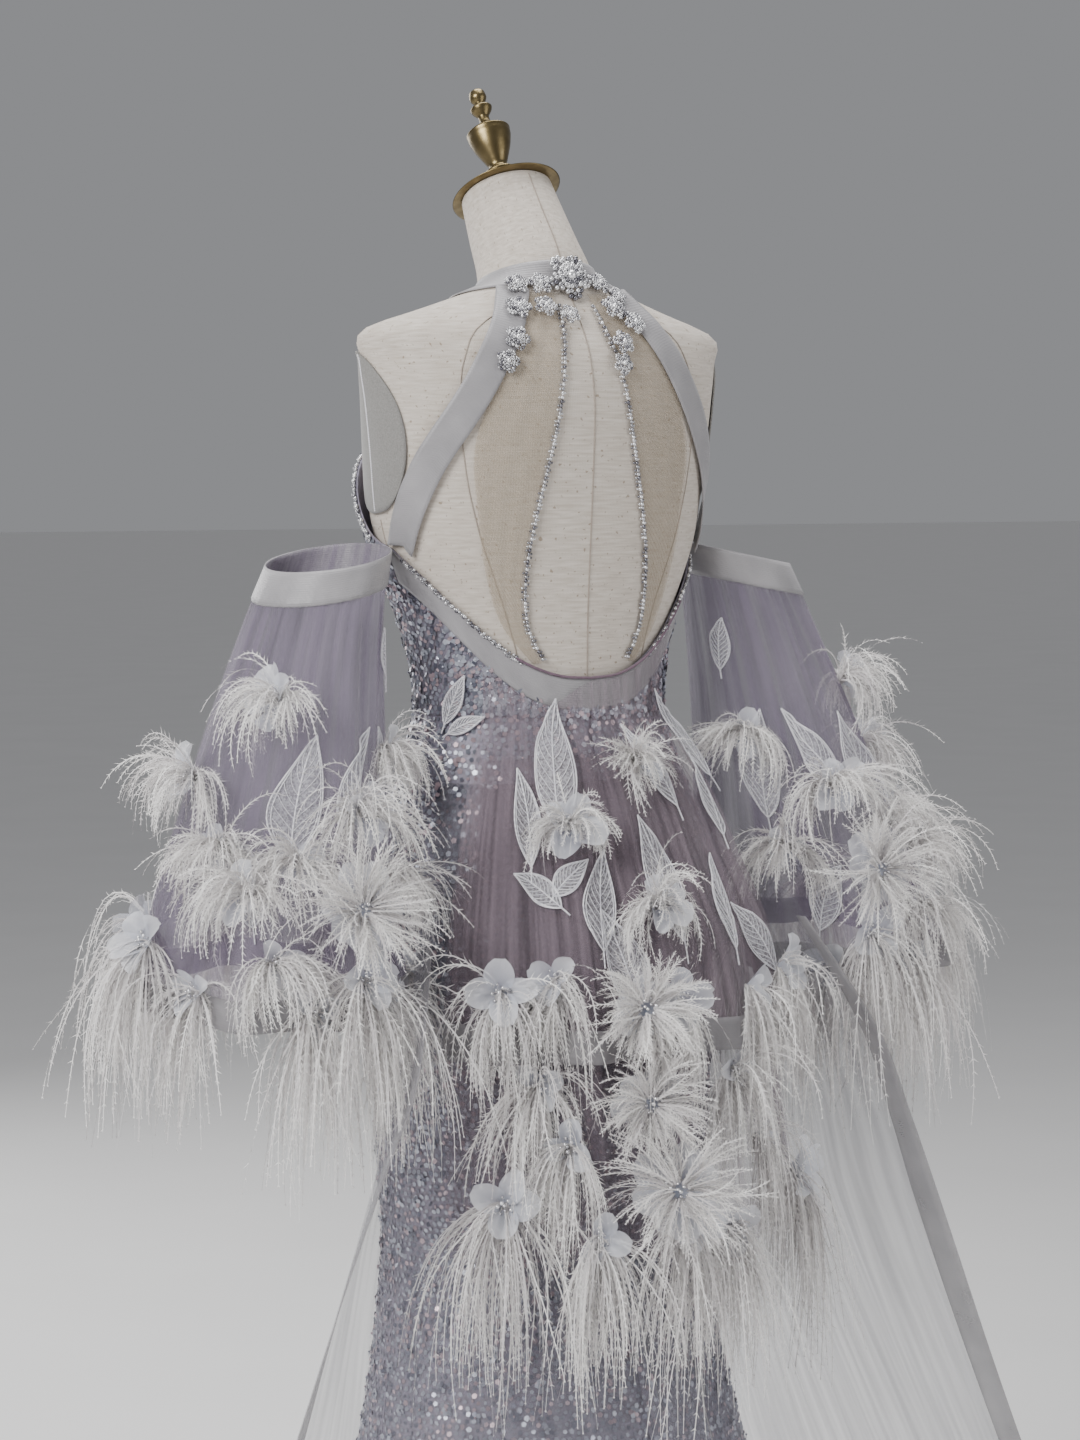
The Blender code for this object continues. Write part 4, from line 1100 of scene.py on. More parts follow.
def plate_point(side, x, y, out):
    """A point of an arm plate from its place in a unit disc."""
    degrees = PLATE_TURN + PLATE_HALF_TURN * x * side
    if side < 0:
        degrees = 180 - PLATE_TURN + PLATE_HALF_TURN * x
    return form_point(PLATE_LEVEL + PLATE_HALF_HEIGHT * y, degrees, out)


def build_torso():
    """The linen-covered torso with its leaning neck."""
    def place(across, up):
        return form_ring(mix(FORM_LOW, FORM_TOP, up), across * 360)

    mesh = grid_mesh("torso", 120, 110, place, (0.95, 0.80), joined=True)
    bm = bmesh.new()
    bm.from_mesh(mesh)
    bmesh.ops.holes_fill(bm, edges=bm.edges, sides=0)
    bmesh.ops.recalc_face_normals(bm, faces=bm.faces)
    bm.to_mesh(mesh)
    bm.free()
    mesh.shade_smooth()
    mesh.set_sharp_from_angle(angle=math.radians(60))
    obj = link_piece("linen_torso", mesh, "slubbed_linen", "linen", ("form_torso",))


def build_form_seams():
    """The lines of the closed seams on the linen."""
    bundle = Bundle()
    for seam in FORM_SEAMS:
        mirrored = [(level, 180 - degrees) for level, degrees in seam]
        rows = [seam] if seam[0][1] in (90, 270) else [seam, mirrored]
        for line in rows:
            points, faces_out = [], []
            for i in range(81):
                level, degrees = row_at(line, mix(line[0][0], line[-1][0], i / 80))
                points.append(form_point(level, degrees, SEAM_RADIUS * 0.1))
                faces_out.append(tuple(outward(form_ring, level, degrees)))
            bundle.add(*strand(points, faces_out, SEAM_RADIUS), 0.5)
    # The seams are coloured darker than the linen: painted shadow along each seam.
    link_piece("linen_seams", bundle.mesh("linen_seams"), "seam_thread", "linen")


def build_arm_plates():
    """The felt plates over the arm ends, each with the seam that crosses it."""
    seams = Bundle()
    for word, side in (("left", 1), ("right", -1)):
        def place(across, up, side=side):
            x, y = 2 * across - 1, 2 * up - 1
            return plate_point(
                side, x * math.sqrt(1 - y * y / 2), y * math.sqrt(1 - x * x / 2), PLATE_OUT)

        mesh = grid_mesh("felt_plate_" + word, 28, 28, place, (0.12, 0.16))
        # The plates' grey finish is partly painted shade.
        obj = link_piece("felt_plate_" + word, mesh, "pressed_felt", "grey_felt", ("form_arm_plate_" + word,))
        wall = obj.modifiers.new("wall", "SOLIDIFY")
        wall.thickness = PLATE_WALL
        wall.offset = 1.0
        points, ways = [], []
        for i in range(31):
            y = mix(-0.97, 0.97, i / 30)
            x = 0.12 + 0.10 * y
            points.append(plate_point(side, x, y, PLATE_OUT + PLATE_WALL + 0.0001))
            ways.append(tuple(plate_point(side, x, y, 0.01) - plate_point(side, x, y, 0.0)))
        seams.add(*strand(points, ways, 0.0008), 0.8)
    link_piece("plate_seams", seams.mesh("plate_seams"), "white_cord", "grey_felt")


def build_form_brass():
    """The brass neck cap and the turned finial, on the axis of the leaning neck."""
    place = Matrix.Translation((0.0, FORM_ROWS[-1][1], FORM_TOP)) @ Matrix.Rotation(NECK_LEAN, 4, "X")
    for name, node, profile in (
        ("brass_cap", "form_neck_cap", CAP_PROFILE),
        ("brass_finial", "form_finial", FINIAL_PROFILE),
    ):
        mesh = turned_mesh(name, profile, 64, 4)
        mesh.transform(place)
        link_piece(name, mesh, "aged_brass", "antique_brass", (node,))


def build_stand():
    """The pole and the round base."""
    mesh = turned_mesh("base", BASE_PROFILE, 96, 1)
    mesh.set_sharp_from_angle(angle=math.radians(40))
    link_piece("steel_base", mesh, "black_enamel", "painted_steel", ("stand_base",))
    bm = bmesh.new()
    length = FORM_LOW - SEAM_GAP
    bmesh.ops.create_cone(
        bm, cap_ends=True, segments=48, radius1=POLE_RADIUS, radius2=POLE_RADIUS, depth=length,
        matrix=Matrix.Translation((0, 0, length / 2)),
    )
    mesh = bpy.data.meshes.new("pole")
    bm.to_mesh(mesh)
    bm.free()
    mesh.shade_smooth()
    mesh.set_sharp_from_angle(angle=math.radians(40))
    link_piece("steel_pole", mesh, "black_enamel", "painted_steel", ("stand_pole",))


# Sheath: bodice, skirt and their sequins

def bodice_front_place(across, up):
    degrees = 180.25 + 179.5 * across
    level = mix(WAIST_LEVEL, front_edge(degrees), up)
    towards_front = math.sin(math.radians(degrees - 180))
    stand = CUP_STAND * up ** 2 * towards_front ** 0.5
    return form_point(level, degrees, CLOTH_OUT + stand)


def bodice_back_place(start, below=0.0):
    def place(across, up):
        degrees = start + 89.5 * across
        top = max(back_edge(degrees) - below, WAIST_LEVEL + 0.001)
        return form_point(mix(WAIST_LEVEL, top, up), degrees, CLOTH_OUT)

    return place


def skirt_place(start, turn):
    def place(across, up):
        level = mix(SKIRT_LOW, SKIRT_TOP, up)
        return skirt_point(level, start + turn * across, CLOTH_OUT)

    return place


# name, node, columns, rows, place, flat width, flat length, flat area
SHEATH = (
    ("bodice_front_cloth", "bodice_front", 72, 24, bodice_front_place, 0.46, 0.24, 0.085),
    ("bodice_back_left_cloth", "bodice_back_left", 36, 14, bodice_back_place(0.25), 0.19, 0.16, 0.013),
    ("bodice_back_right_cloth", "bodice_back_right", 36, 14, bodice_back_place(90.2), 0.19, 0.16, 0.013),
    ("skirt_front_cloth", "skirt_front", 56, 64, skirt_place(180.2, 179.6), 0.94, 1.10, 0.60),
    ("skirt_back_left_cloth", "skirt_back_left", 28, 64, skirt_place(0.2, 89.7), 0.54, 1.16, 0.35),
    ("skirt_back_right_cloth", "skirt_back_right", 28, 64, skirt_place(90.1, 89.7), 0.54, 1.16, 0.35),
)


# The sequins of the back bodice end where the band covers them
SEQUINNED = {
    "bodice_back_left_cloth": bodice_back_place(0.25, BACK_BAND_WIDTH),
    "bodice_back_right_cloth": bodice_back_place(90.2, BACK_BAND_WIDTH),
}


def build_sheath():
    """The six sequinned shapes of the sheath."""
    for name, node, columns, rows, place, wide, long, area in SHEATH:
        cloth(name, node, (columns, rows), place, CLOTH_WALL, "sequin_ground", "sequinned_net",
              (wide, long), area)


def scatter(place, high, pitch, rng):
    """Places in rows over a shape, staggered and shaken a little, with the way each faces."""
    centres, ways = [], []
    rows = max(2, round(high / pitch))
    for i in range(rows):
        up = (i + 0.5) / rows
        run = sum((place((j + 1) / 12, up) - place(j / 12, up)).length for j in range(12))
        count = max(2, round(run / pitch))
        for j in range(count):
            across = (j + 0.5 + 0.5 * (i % 2) - 0.25) / count + rng.uniform(-0.2, 0.2) / count
            across = min(max(across, 0.004), 0.996)
            level = min(max(up + rng.uniform(-0.2, 0.2) / rows, 0.003), 0.997)
            here = place(across, level)
            aside = place(min(across + 0.003, 1), level) - place(max(across - 0.003, 0), level)
            upward = place(across, min(level + 0.003, 1)) - place(across, max(level - 0.003, 0))
            centres.append(tuple(here))
            ways.append(tuple(aside.cross(upward).normalized()))
    return np.array(centres), np.array(ways)


FLOWER_SEQUIN_PITCH = 0.030
FLOWER_SEQUIN_PETALS = 5


def add_flower_sequins(bundle, place, long, rng):
    """Small flowers of five sequins round a bead, scattered between the others."""
    centres, ways = scatter(place, long, FLOWER_SEQUIN_PITCH, rng)
    for centre, way in zip(centres, ways):
        side, upright = tangents(way)
        first = rng.uniform(0, 6)
        centre = centre + way * (CLOTH_WALL + 0.0020)
        turns = first + 2 * math.pi * np.arange(FLOWER_SEQUIN_PETALS) / FLOWER_SEQUIN_PETALS
        petals = centre + 0.0032 * (np.cos(turns)[:, None] * side + np.sin(turns)[:, None] * upright)
        around = np.repeat(way[None], FLOWER_SEQUIN_PETALS, axis=0)
        add_discs(bundle, petals, around, np.full(FLOWER_SEQUIN_PETALS, 0.0026), rng, 0.15)
        add_bead(bundle, centre + way * 0.0006, 0.0012, rng.uniform(0, 1))


def build_sequins():
    """The sequins over the sheath, one layer of many small tilted discs on each shape."""
    settings = bpy.context.scene.gown
    rng = np.random.default_rng(SEQUIN_SEED)
    for name, _, _, _, place, _, long, _ in SHEATH:
        place = SEQUINNED.get(name, place)
        centres, ways = scatter(place, long, settings.sequin_pitch, rng)
        radii = settings.sequin_radius * rng.uniform(0.72, 1.12, len(centres))
        bundle = Bundle()
        add_discs(bundle, centres + ways * (CLOTH_WALL + 0.0009), ways, radii, rng, 0.22)
        add_flower_sequins(bundle, place, long, rng)
        new_name = name.replace("_cloth", "_sequins")
        link_piece(new_name, bundle.mesh(new_name, smooth=False), "sequins", "sequinned_net")


# Neck, straps and the open back

def build_neck_band():
    """The halter's neck band."""
    def place(across, up):
        return form_point(mix(NECK_BAND_LOW, NECK_BAND_TOP, up), across * 360, NECK_BAND_OUT)

    cloth("neck_ribbon", "neck_band", (96, 8), place, BAND_WALL, "satin_ribbon",
          "horsehair_ribbon", (0.42, 0.022), joined=True)


def build_yoke():
    """The net yoke in front, from the neck band down to the bodice."""
    top = NECK_BAND_LOW - 0.0016

    def place(across, up):
        degrees = 270 + mix(34, 58, up ** 1.5) * (2 * across - 1)
        level = mix(front_edge(degrees) + 0.0025, top, up)
        return form_point(level, degrees, mix(CUP_STAND + CLOTH_OUT, 0.0016, min(1, 3 * up)))

    cloth("yoke_net", "front_yoke", (40, 36), place, NET_WALL, "stretch_net", "nude_net",
          (0.20, 0.21), 0.034)


def strap_place(side):
    low, high = STRAP_ROWS[0][0], STRAP_ROWS[-1][0]

    def middle(up):
        level = mix(low, high, up)
        return form_point(level, back_angle(level, side * row_at(STRAP_ROWS, level)[1]), STRAP_OUT)

    def place(across, up):
        along = (middle(min(up + 0.02, 1)) - middle(max(up - 0.02, 0))).normalized()
        level = mix(low, high, up)
        degrees = back_angle(level, side * row_at(STRAP_ROWS, level)[1])
        sideways = along.cross(outward(form_ring, level, degrees)).normalized()
        return middle(up) + sideways * STRAP_WIDTH * (across - 0.5)

    return place


def strap_end(place, across):
    """The share of a strap's length at which it meets the band of the open back."""
    low, high = 0.0, 0.4
    for _ in range(14):
        middle = (low + high) / 2
        point = place(across, middle)
        if point.z < back_edge(back_angle(point.z, point.x)) + 2 * SEAM_GAP:
            low = middle
        else:
            high = middle
    return high


def build_straps():
    """The two back straps."""
    for word, side in (("left", 1), ("right", -1)):
        whole = strap_place(side)

        def place(across, up, whole=whole):
            return whole(across, mix(strap_end(whole, across), 1.0, up))

        cloth("strap_ribbon_" + word, "strap_" + word, (8, 60), place, BAND_WALL,
              "satin_ribbon", "horsehair_ribbon", (STRAP_WIDTH, 0.26))


def build_back_net():
    """The nude net beside the keyhole, with its soft folds and its strings of beads."""
    low, high = NET_ROWS[0][0], NET_ROWS[-1][0]
    for word, side in (("left", 1), ("right", -1)):
        def place(across, up, side=side):
            level = mix(low, high, up)
            _, inner, outer = row_at(NET_ROWS, level)
            share = across if side < 0 else 1 - across
            fold = 0.0006 * (1 + math.sin(19 * share + 6 * up)) * math.sin(math.pi * share)
            return form_point(level, back_angle(level, side * mix(inner, outer, share)), NET_OUT + fold)

        cloth("back_net_" + word, "mesh_back_" + word, (20, 80), place, NET_WALL, "stretch_net",
              "nude_net", (0.07, 0.35), 0.0135)
        beads = Bundle()
        rng = np.random.default_rng(SEQUIN_SEED)
        count = 92
        for i in range(count):
            level = mix(low + 0.004, high - 0.010, i / (count - 1))
            inner = row_at(NET_ROWS, level)[1] - BEAD_RADIUS - 0.001
            for across, radius in ((0.0, BEAD_RADIUS), (rng.choice((-1, 1)) * 0.0026, 0.0013)):
                degrees = back_angle(level, side * (inner + across))
                add_bead(beads, form_point(level, degrees, radius + NET_OUT * 0.5), radius,
                         rng.uniform(0, 1))
        name = "crystal_string_" + word
        link_piece(name, beads.mesh(name), "cut_glass", "crystal", ("bead_string_" + word,))


CRYSTAL_STRETCHES = ((8, 58), (124, 172))
CRYSTALS_A_SIDE = 90
PIPING_FROM, PIPING_TO = 56, 150


def build_back_edge():
    """The ribbon round the open back, its inner row of crystals and its mauve piping."""
    def place(across, up):
        degrees = 0.25 + 179.5 * across
        level = back_edge(degrees) - BACK_BAND_WIDTH * (1 - up)
        return form_point(level, degrees, BAND_OUT)

    cloth("back_edge_ribbon", "back_edge_band", (110, 8), place, BAND_WALL, "satin_ribbon",
          "horsehair_ribbon", (0.44, BACK_BAND_WIDTH))
    beads = Bundle()
    rng = np.random.default_rng(SEQUIN_SEED)
    for low, high in CRYSTAL_STRETCHES:
        for i in range(CRYSTALS_A_SIDE):
            degrees = mix(low, high, (i + rng.uniform(-0.3, 0.3)) / (CRYSTALS_A_SIDE - 1))
            degrees = min(max(degrees, low), high)
            level = back_edge(degrees) + rng.uniform(-0.0030, 0.0022)
            radius = rng.uniform(0.0012, 0.0024)
            add_bead(beads, form_point(level, degrees, BAND_OUT + BAND_WALL), radius, rng.uniform(0, 1))
    link_piece("back_edge_crystals", beads.mesh("back_edge_crystals"), "cut_glass", "crystal")
    piping = Bundle()
    points, ways = [], []
    for i in range(81):
        degrees = mix(PIPING_FROM, PIPING_TO, i / 80)
        points.append(form_point(back_edge(degrees) + 0.0004, degrees, BAND_OUT + BAND_WALL + 0.0010))
        ways.append(tuple(outward(form_ring, back_edge(degrees), degrees)))
    piping.add(*strand(points, ways, 0.0013, 7), 0.5)
    link_piece("back_edge_piping", piping.mesh("back_edge_piping"), "mauve_piping", "horsehair_ribbon")


def build_cup_edge():
    """The row of large silver beads along the cups, which stands off the form."""
    beads = Bundle()
    rng = np.random.default_rng(SEQUIN_SEED)
    count = 150
    for row in range(4):
        for i in range(count):
            degrees = mix(188, 352, (i + rng.uniform(0, 1)) / count)
            towards_front = max(math.sin(math.radians(degrees - 180)), 0)
            out = CLOTH_OUT + CLOTH_WALL + CUP_STAND * towards_front ** 0.5
            level = front_edge(degrees) - 0.0035 * row + rng.uniform(-0.0010, 0.0010)
            radius = rng.uniform(0.0013, 0.0026) * (1 - 0.12 * row)
            add_bead(beads, form_point(level, degrees, out + radius), radius, rng.uniform(0, 1))
    link_piece("cup_edge_beads", beads.mesh("cup_edge_beads"), "cut_glass", "crystal", ("bust_edge_trim",))


# Small beaded flowers at the nape: distance from the middle, level, radius
NAPE_FLOWERS_LEFT = (
    (0.030, 1.402, 0.0115), (0.050, 1.402, 0.0115), (0.034, 1.384, 0.0115), (0.060, 1.383, 0.0125),
    (0.013, 1.378, 0.0100), (0.071, 1.358, 0.0120), (0.083, 1.340, 0.0110),
)
NAPE_FLOWERS_RIGHT = (
    (0.032, 1.404, 0.0110), (0.049, 1.395, 0.0100), (0.037, 1.384, 0.0130), (0.055, 1.373, 0.0120),
    (0.035, 1.356, 0.0115), (0.030, 1.339, 0.0105),
)
PETAL_BEADS = 9


def beaded_flower(beads, centre, way, radius, rng, petals=5):
    """A flower of beads, seated on the surface under it: full petals round one large stone."""
    way = Vector(way).normalized()
    across = way.cross(Vector((0, 0, 1))).normalized()
    upright = way.cross(across)
    add_bead(beads, centre + way * radius * 0.20, radius * 0.24, 1.0)
    first = rng.uniform(0, 6)
    for petal in range(petals):
        turn = first + 2 * math.pi * petal / petals
        for ring, count in ((1.0, PETAL_BEADS), (0.5, 5)):
            for k in range(count):
                angle = 2 * math.pi * k / count
                along = radius * (0.62 + 0.34 * ring * math.cos(angle))
                aside = radius * 0.33 * ring * math.sin(angle)
                x = along * math.cos(turn) - aside * math.sin(turn)
                y = along * math.sin(turn) + aside * math.cos(turn)
                lift = radius * 0.20 * (1 - (along / radius) ** 2)
                size = radius * rng.uniform(0.095, 0.145)
                add_bead(beads, centre + across * x + upright * y + way * lift, size, rng.uniform(0, 1))


def build_nape_flowers():
    """The beaded flowers that hold the straps to the neck band."""
    rng = np.random.default_rng(FEATHER_SEED)
    beads = Bundle()
    way = outward(form_ring, FLOWER_LEVEL, 90)
    beaded_flower(beads, form_point(FLOWER_LEVEL, 90, 0.0062), way, 0.022, rng)
    beaded_flower(beads, form_point(FLOWER_LEVEL, 90, 0.0084), way, 0.012, rng)
    link_piece("nape_flower_middle", beads.mesh("nape_flower_middle"), "cut_glass", "crystal",
               ("neck_flower_center",))
    for word, side, flowers in (("left", 1, NAPE_FLOWERS_LEFT), ("right", -1, NAPE_FLOWERS_RIGHT)):
        beads = Bundle()
        for across, level, radius in flowers:
            degrees = back_angle(level, side * across)
            way = outward(form_ring, level, degrees)
            beaded_flower(beads, form_point(level, degrees, 0.0066), way, radius, rng)
        name = "nape_flowers_" + word
        link_piece(name, beads.mesh(name), "cut_glass", "crystal", ("neck_flowers_" + word,))


# Tulle: sleeves, cape and train

def build_sleeves():
    """The off-shoulder tulle sleeves with their top bands and stiff hems."""
    over = TULLE_WALL + SEAM_GAP
    for word, side in (("left", 1), ("right", -1)):
        for name, node, low, high, out, look, slot, size, cut, area in (
            ("sleeve_tulle_", "sleeve_", SLEEVE_LOW, SLEEVE_TOP, 0.0, "tulle", "lavender_tulle",
             (140, 40), (0.78, 0.42), 0.21),
            ("sleeve_top_ribbon_", "sleeve_band_", SLEEVE_BAND, SLEEVE_TOP, over, "satin_ribbon",
             "horsehair_ribbon", (96, 6), (0.37, 0.034), None),
            ("sleeve_hem_ribbon_", "sleeve_hem_", SLEEVE_LOW, SLEEVE_HEM, over, "sheer_band",
             "horsehair_ribbon", (140, 4), (0.76, 0.028), None),
        ):
            def place(across, up, side=side, low=low, high=high, out=out):
                return sleeve_point(side, mix(low, high, up), side * across * 360, out)

            cloth(name + word, node + word, size, place, TULLE_WALL if out == 0 else BAND_WALL,
                  look, slot, cut, area, joined=True)


CAPE_HANG_SHARE = 0.92
CAPE_TOP_LIFT = 0.0026


def build_cape():
    """The two tiers of the back cape and the stiff hem of the upper one."""
    def upper(across, up):
        degrees = tier_angle(across)
        if up <= CAPE_HANG_SHARE:
            return tier_point(UPPER_TIER_ROWS, upper_tier_level(degrees, up / CAPE_HANG_SHARE), degrees)
        over = (up - CAPE_HANG_SHARE) / (1 - CAPE_HANG_SHARE)
        covered = 0.02 + 0.98 * smooth_step(66, 92, degrees)
        level = upper_tier_level(degrees, 1.0) + over * covered * (BACK_BAND_WIDTH - 0.001)
        gathers = 0.0005 * math.cos(math.radians(97 * degrees))
        lift = (CAPE_TOP_LIFT + gathers) * smooth_step(0, 0.2, over) * covered
        return tier_point(UPPER_TIER_ROWS, level, degrees, lift)

    def hem(across, up):
        degrees = tier_angle(across)
        level = upper_tier_level(degrees, UPPER_HEM_SHARE * up)
        return tier_point(UPPER_TIER_ROWS, level, degrees, TULLE_WALL + 2 * SEAM_GAP)

    def lower(across, up):
        degrees = tier_angle(across)
        return tier_point(LOWER_TIER_ROWS, mix(LOWER_TIER_ROWS[0][0], LOWER_TIER_ROWS[-1][0], up), degrees)

    cloth("cape_upper_tulle", "cape_upper_tier", (160, 36), upper, TULLE_WALL, "cape_tulle",
          "lavender_tulle", (0.60, 0.38), 0.15)
    cloth("cape_hem_ribbon", "cape_hem_band", (160, 4), hem, BAND_WALL, "sheer_band",
          "horsehair_ribbon", (0.60, 0.032))
    cloth("cape_lower_tulle", "cape_lower_tier", (160, 42), lower, TULLE_WALL, "cape_tulle",
          "lavender_tulle", (0.66, 0.46), 0.20)


TRAIN_EDGE_SHARE = 0.060


def build_train():
    """The split tulle train, the strips along its free edges and its rolled centre hems."""
    hems = Bundle()
    for word, side in (("left", 1), ("right", -1)):
        def place(across, up, side=side):
            share = across if side < 0 else 1 - across
            return train_point(mix(TRAIN_LOW, TRAIN_TOP, up), share, side)

        def strip(across, up, side=side):
            share = across if side < 0 else 1 - across
            level = mix(TRAIN_LOW, 0.84, up)
            wide = TRAIN_EDGE_SHARE * mix(1.0, 0.5, up)
            return train_point(level, 1 - wide * (1 - share), side, 0.0014)

        cloth("train_tulle_" + word, "train_" + word, (80, 60), place, TULLE_WALL, "train_tulle",
              "lavender_tulle", (0.80, 1.10), 0.56)
        rolled = [place(0.0 if side < 0 else 1.0, i / 60) for i in range(61)]
        hems.add(*strand(rolled, (0.0, 1.0, 0.0), 0.0009, 5), 0.5)
        cloth("train_edge_" + word, None, (3, 60), strip, TULLE_WALL, "sheer_band",
              "horsehair_ribbon", (0.026, 0.98))
    link_piece("train_rolled_hems", hems.mesh("train_rolled_hems"), "sheer_band", "lavender_tulle")


# Corded leaves

def leaf_spot(surface, level, degrees, a, b, out):
    """A place near (level, degrees) on a surface, a across and b up, in metres."""
    high = level + b
    here = surface(high, degrees, 0.0)
    ahead = surface(high, degrees + 1, 0.0)
    return surface(high, degrees + a / max((ahead - here).length, 1e-4), out)


def corded_leaf(cords, fills, surface, level, degrees, long, wide, turn, out=0.0016):
    """A leaf: doubled outline, midrib and veins in cord over a sheer ground."""
    spin = math.radians(turn)
    bow = 0.16 * long * (1 if turn > 0 else -1)

    def at(s, across, lift=0.0):
        half = wide / 2 * math.sin(math.pi * min(max(s, 0.0), 1.0) ** 0.8) ** 1.1
        a = across * half + bow * (s - s * s - 0.15)
        b = (s - 0.5) * long
        x = a * math.cos(spin) - b * math.sin(spin)
        y = a * math.sin(spin) + b * math.cos(spin)
        return leaf_spot(surface, level, degrees, x, y, out + lift)

    way = tuple((at(0.5, 0.0, 0.01) - at(0.5, 0.0)).normalized())
    for edge in (1.0, -1.0, 0.88, -0.88):
        line = [at(s / 20, edge) for s in range(21)]
        cords.add(*strand(line, way, 0.0008 if abs(edge) == 1 else 0.0005, 4), 0.5)
    cords.add(*strand([at(s / 12, 0.0) for s in range(-2, 13)], way, 0.0008, 4), 0.5)
    for k in range(LEAF_VEINS):
        foot = 0.06 + 0.74 * k / LEAF_VEINS
        for sideways in (1, -1):
            line = [at(foot + 0.20 * t / 4, sideways * 0.85 * (t / 4) ** 0.8) for t in range(5)]
            cords.add(*strand(line, way, 0.00045, 3), 0.5)
    rows, columns = 14, 4
    corners = [
        tuple(at(s / rows, 0.97 * (2 * c / columns - 1), -0.0004))
        for s in range(rows + 1) for c in range(columns + 1)
    ]
    fills.add(corners, grid_faces(rows, columns), 0.4)


LEAF_VEINS = 8


def build_leaves():
    """The corded leaf sprays on the cape, on the sheath beside it and on the sleeves."""
    def sheath_surface(level, degrees, out):
        return form_point(level, degrees, CLOTH_OUT + CLOTH_WALL + 0.002 + out)

    jobs = [
        ("cape", tier_cloth(UPPER_TIER_ROWS), CAPE_LEAVES),
        ("sheath", sheath_surface, SHEATH_LEAVES),
        ("sleeve_left", sleeve_cloth(1), SLEEVE_LEAVES),
        ("sleeve_right", sleeve_cloth(-1), SLEEVE_LEAVES),
    ]
    for stem, surface, leaves in jobs:
        cords, fills = Bundle(), Bundle()
        for leaf in leaves:
            corded_leaf(cords, fills, surface, *leaf)
        name = stem + "_leaf_cords"
        link_piece(name, cords.mesh(name), "white_cord", "lavender_tulle")
        name = stem + "_leaf_grounds"
        link_piece(name, fills.mesh(name), "lace_ground", "lavender_tulle")


# Feathers

STRAND_POINTS = 12
STRAND_WIDTH = 0.00075
STRANDS_A_CLUMP = 6
BARBS_A_SIDE = 15
BARB_WIDTH = 0.00130
DOWN = np.array([0.0, 0.0, -1.0])
SPRAY_TURNS = (-1.0, -0.15, 0.85)
HANGING_SPREAD = 0.24
STRAY_SHARE = 0.12
STRAY_TURN = 2.4
DAISY_CLUMPS = 26


def clump_of_strands(rng, root, heading, length, weight, curl):
    """Strands that start together, bend over under their own weight and curl a little."""
    count = STRANDS_A_CLUMP
    stray = np.where(rng.uniform(0, 1, (count, 1)) < STRAY_SHARE, STRAY_TURN, 1.0)
    heads = unit(heading + rng.normal(0, 0.10, (count, 3)) * stray)
    steps = length * rng.uniform(0.62, 1.05, (count, 1)) / (STRAND_POINTS - 1)
    sags = weight * rng.uniform(0.75, 1.25, (count, 1)) / STRAND_POINTS
    axis = curl + rng.normal(0, 0.38, (count, 3)) * stray
    places = [np.asarray(root) + rng.normal(0, 0.0012, (count, 3))]
    for k in range(STRAND_POINTS - 1):
        places.append(places[-1] + heads * steps)
        sag = DOWN * sags * (0.7 + 0.6 * k / STRAND_POINTS)
        heads = unit(heads + sag + np.cross(axis, heads) / STRAND_POINTS)
    return np.stack(places, axis=1)


def add_strands(bundle, rng, paths, barb):
    """Ribbons for the strands, with fine barbs along both sides."""
    count = len(paths)
    along = unit(np.gradient(paths, axis=1))
    aside = unit(np.cross(along, unit(rng.normal(0, 1, (count, 1, 3)))))
    t = np.linspace(0.0, 1.0, STRAND_POINTS)
    # Tone differs at random from strand to strand; each strand is also painted darker towards its root,
    # painted shade where the strands crowd together.
    tone = rng.uniform(0.30, 1.0, (count, 1))
    shade = np.clip(tone * (0.45 + 0.60 * t)[None, :], 0, 1)
    verts, quads = ribbons(paths, aside * (STRAND_WIDTH * (1.15 - 0.85 * t))[None, :, None])
    bundle.add(verts, quads, np.repeat(shade.reshape(-1), 2))
    spots = np.linspace(0.08, 0.985, BARBS_A_SIDE) * (STRAND_POINTS - 1)
    low = spots.astype(int)
    part = (spots - low)[None, :, None]
    feet = paths[:, low] * (1 - part) + paths[:, low + 1] * part
    ahead = along[:, low]
    for way in (1.0, -1.0):
        heading = unit(ahead + aside[:, low] * way * rng.uniform(0.35, 0.75, (count, BARBS_A_SIDE, 1))
                       + rng.normal(0, 0.16, ahead.shape))
        swell = np.sin(math.pi * np.linspace(0.22, 0.90, BARBS_A_SIDE))[None, :, None]
        reach = barb * swell * rng.uniform(0.6, 1.15, (count, BARBS_A_SIDE, 1))
        tips = feet + heading * reach
        verts = np.stack([feet, feet + ahead * BARB_WIDTH, tips], axis=2).reshape(-1, 3)
        faces = np.arange(len(verts)).reshape(-1, 3)
        bundle.add(verts, faces, np.repeat(np.broadcast_to(tone, feet.shape[:2]).reshape(-1), 3))


def tangents(way):
    """Two directions along a cloth from the way that it faces: across it and up it."""
    side = unit(np.cross((0, 0, 1.0), way))
    return side, np.cross(way, side)


def add_spray(bundle, rng, root, way, length, rise, weight):
    """Three locks that fan out from one root."""
    settings = bpy.context.scene.gown
    side, upright = tangents(way)
    spread = HANGING_SPREAD if rise <= 0 else 1.0
    outward_share = (0.0, 0.34) if rise <= 0 else (0.35, 0.90)
    bend = 0.35 if rise <= 0 else 1.2
    for turn in SPRAY_TURNS:
        under = bend * rng.uniform(0.1, 1.0)
        lean = (way * rng.normal(0, 0.45) + side * rng.normal(0, 0.3)) * bend
        for _ in range(settings.clumps):
            fan = spread * turn + rng.normal(0, 0.26)
            heading = way * rng.uniform(*outward_share) + side * fan
            heading = unit(heading + upright * (rise + rng.normal(0, 0.22)))
            long = length * rng.uniform(0.62, 1.12)
            curl = lean + unit(np.cross(heading, DOWN)) * under * rng.uniform(0.5, 1.3)
            paths = clump_of_strands(rng, root, heading, long, weight, curl)
            add_strands(bundle, rng, paths, settings.barb_length)


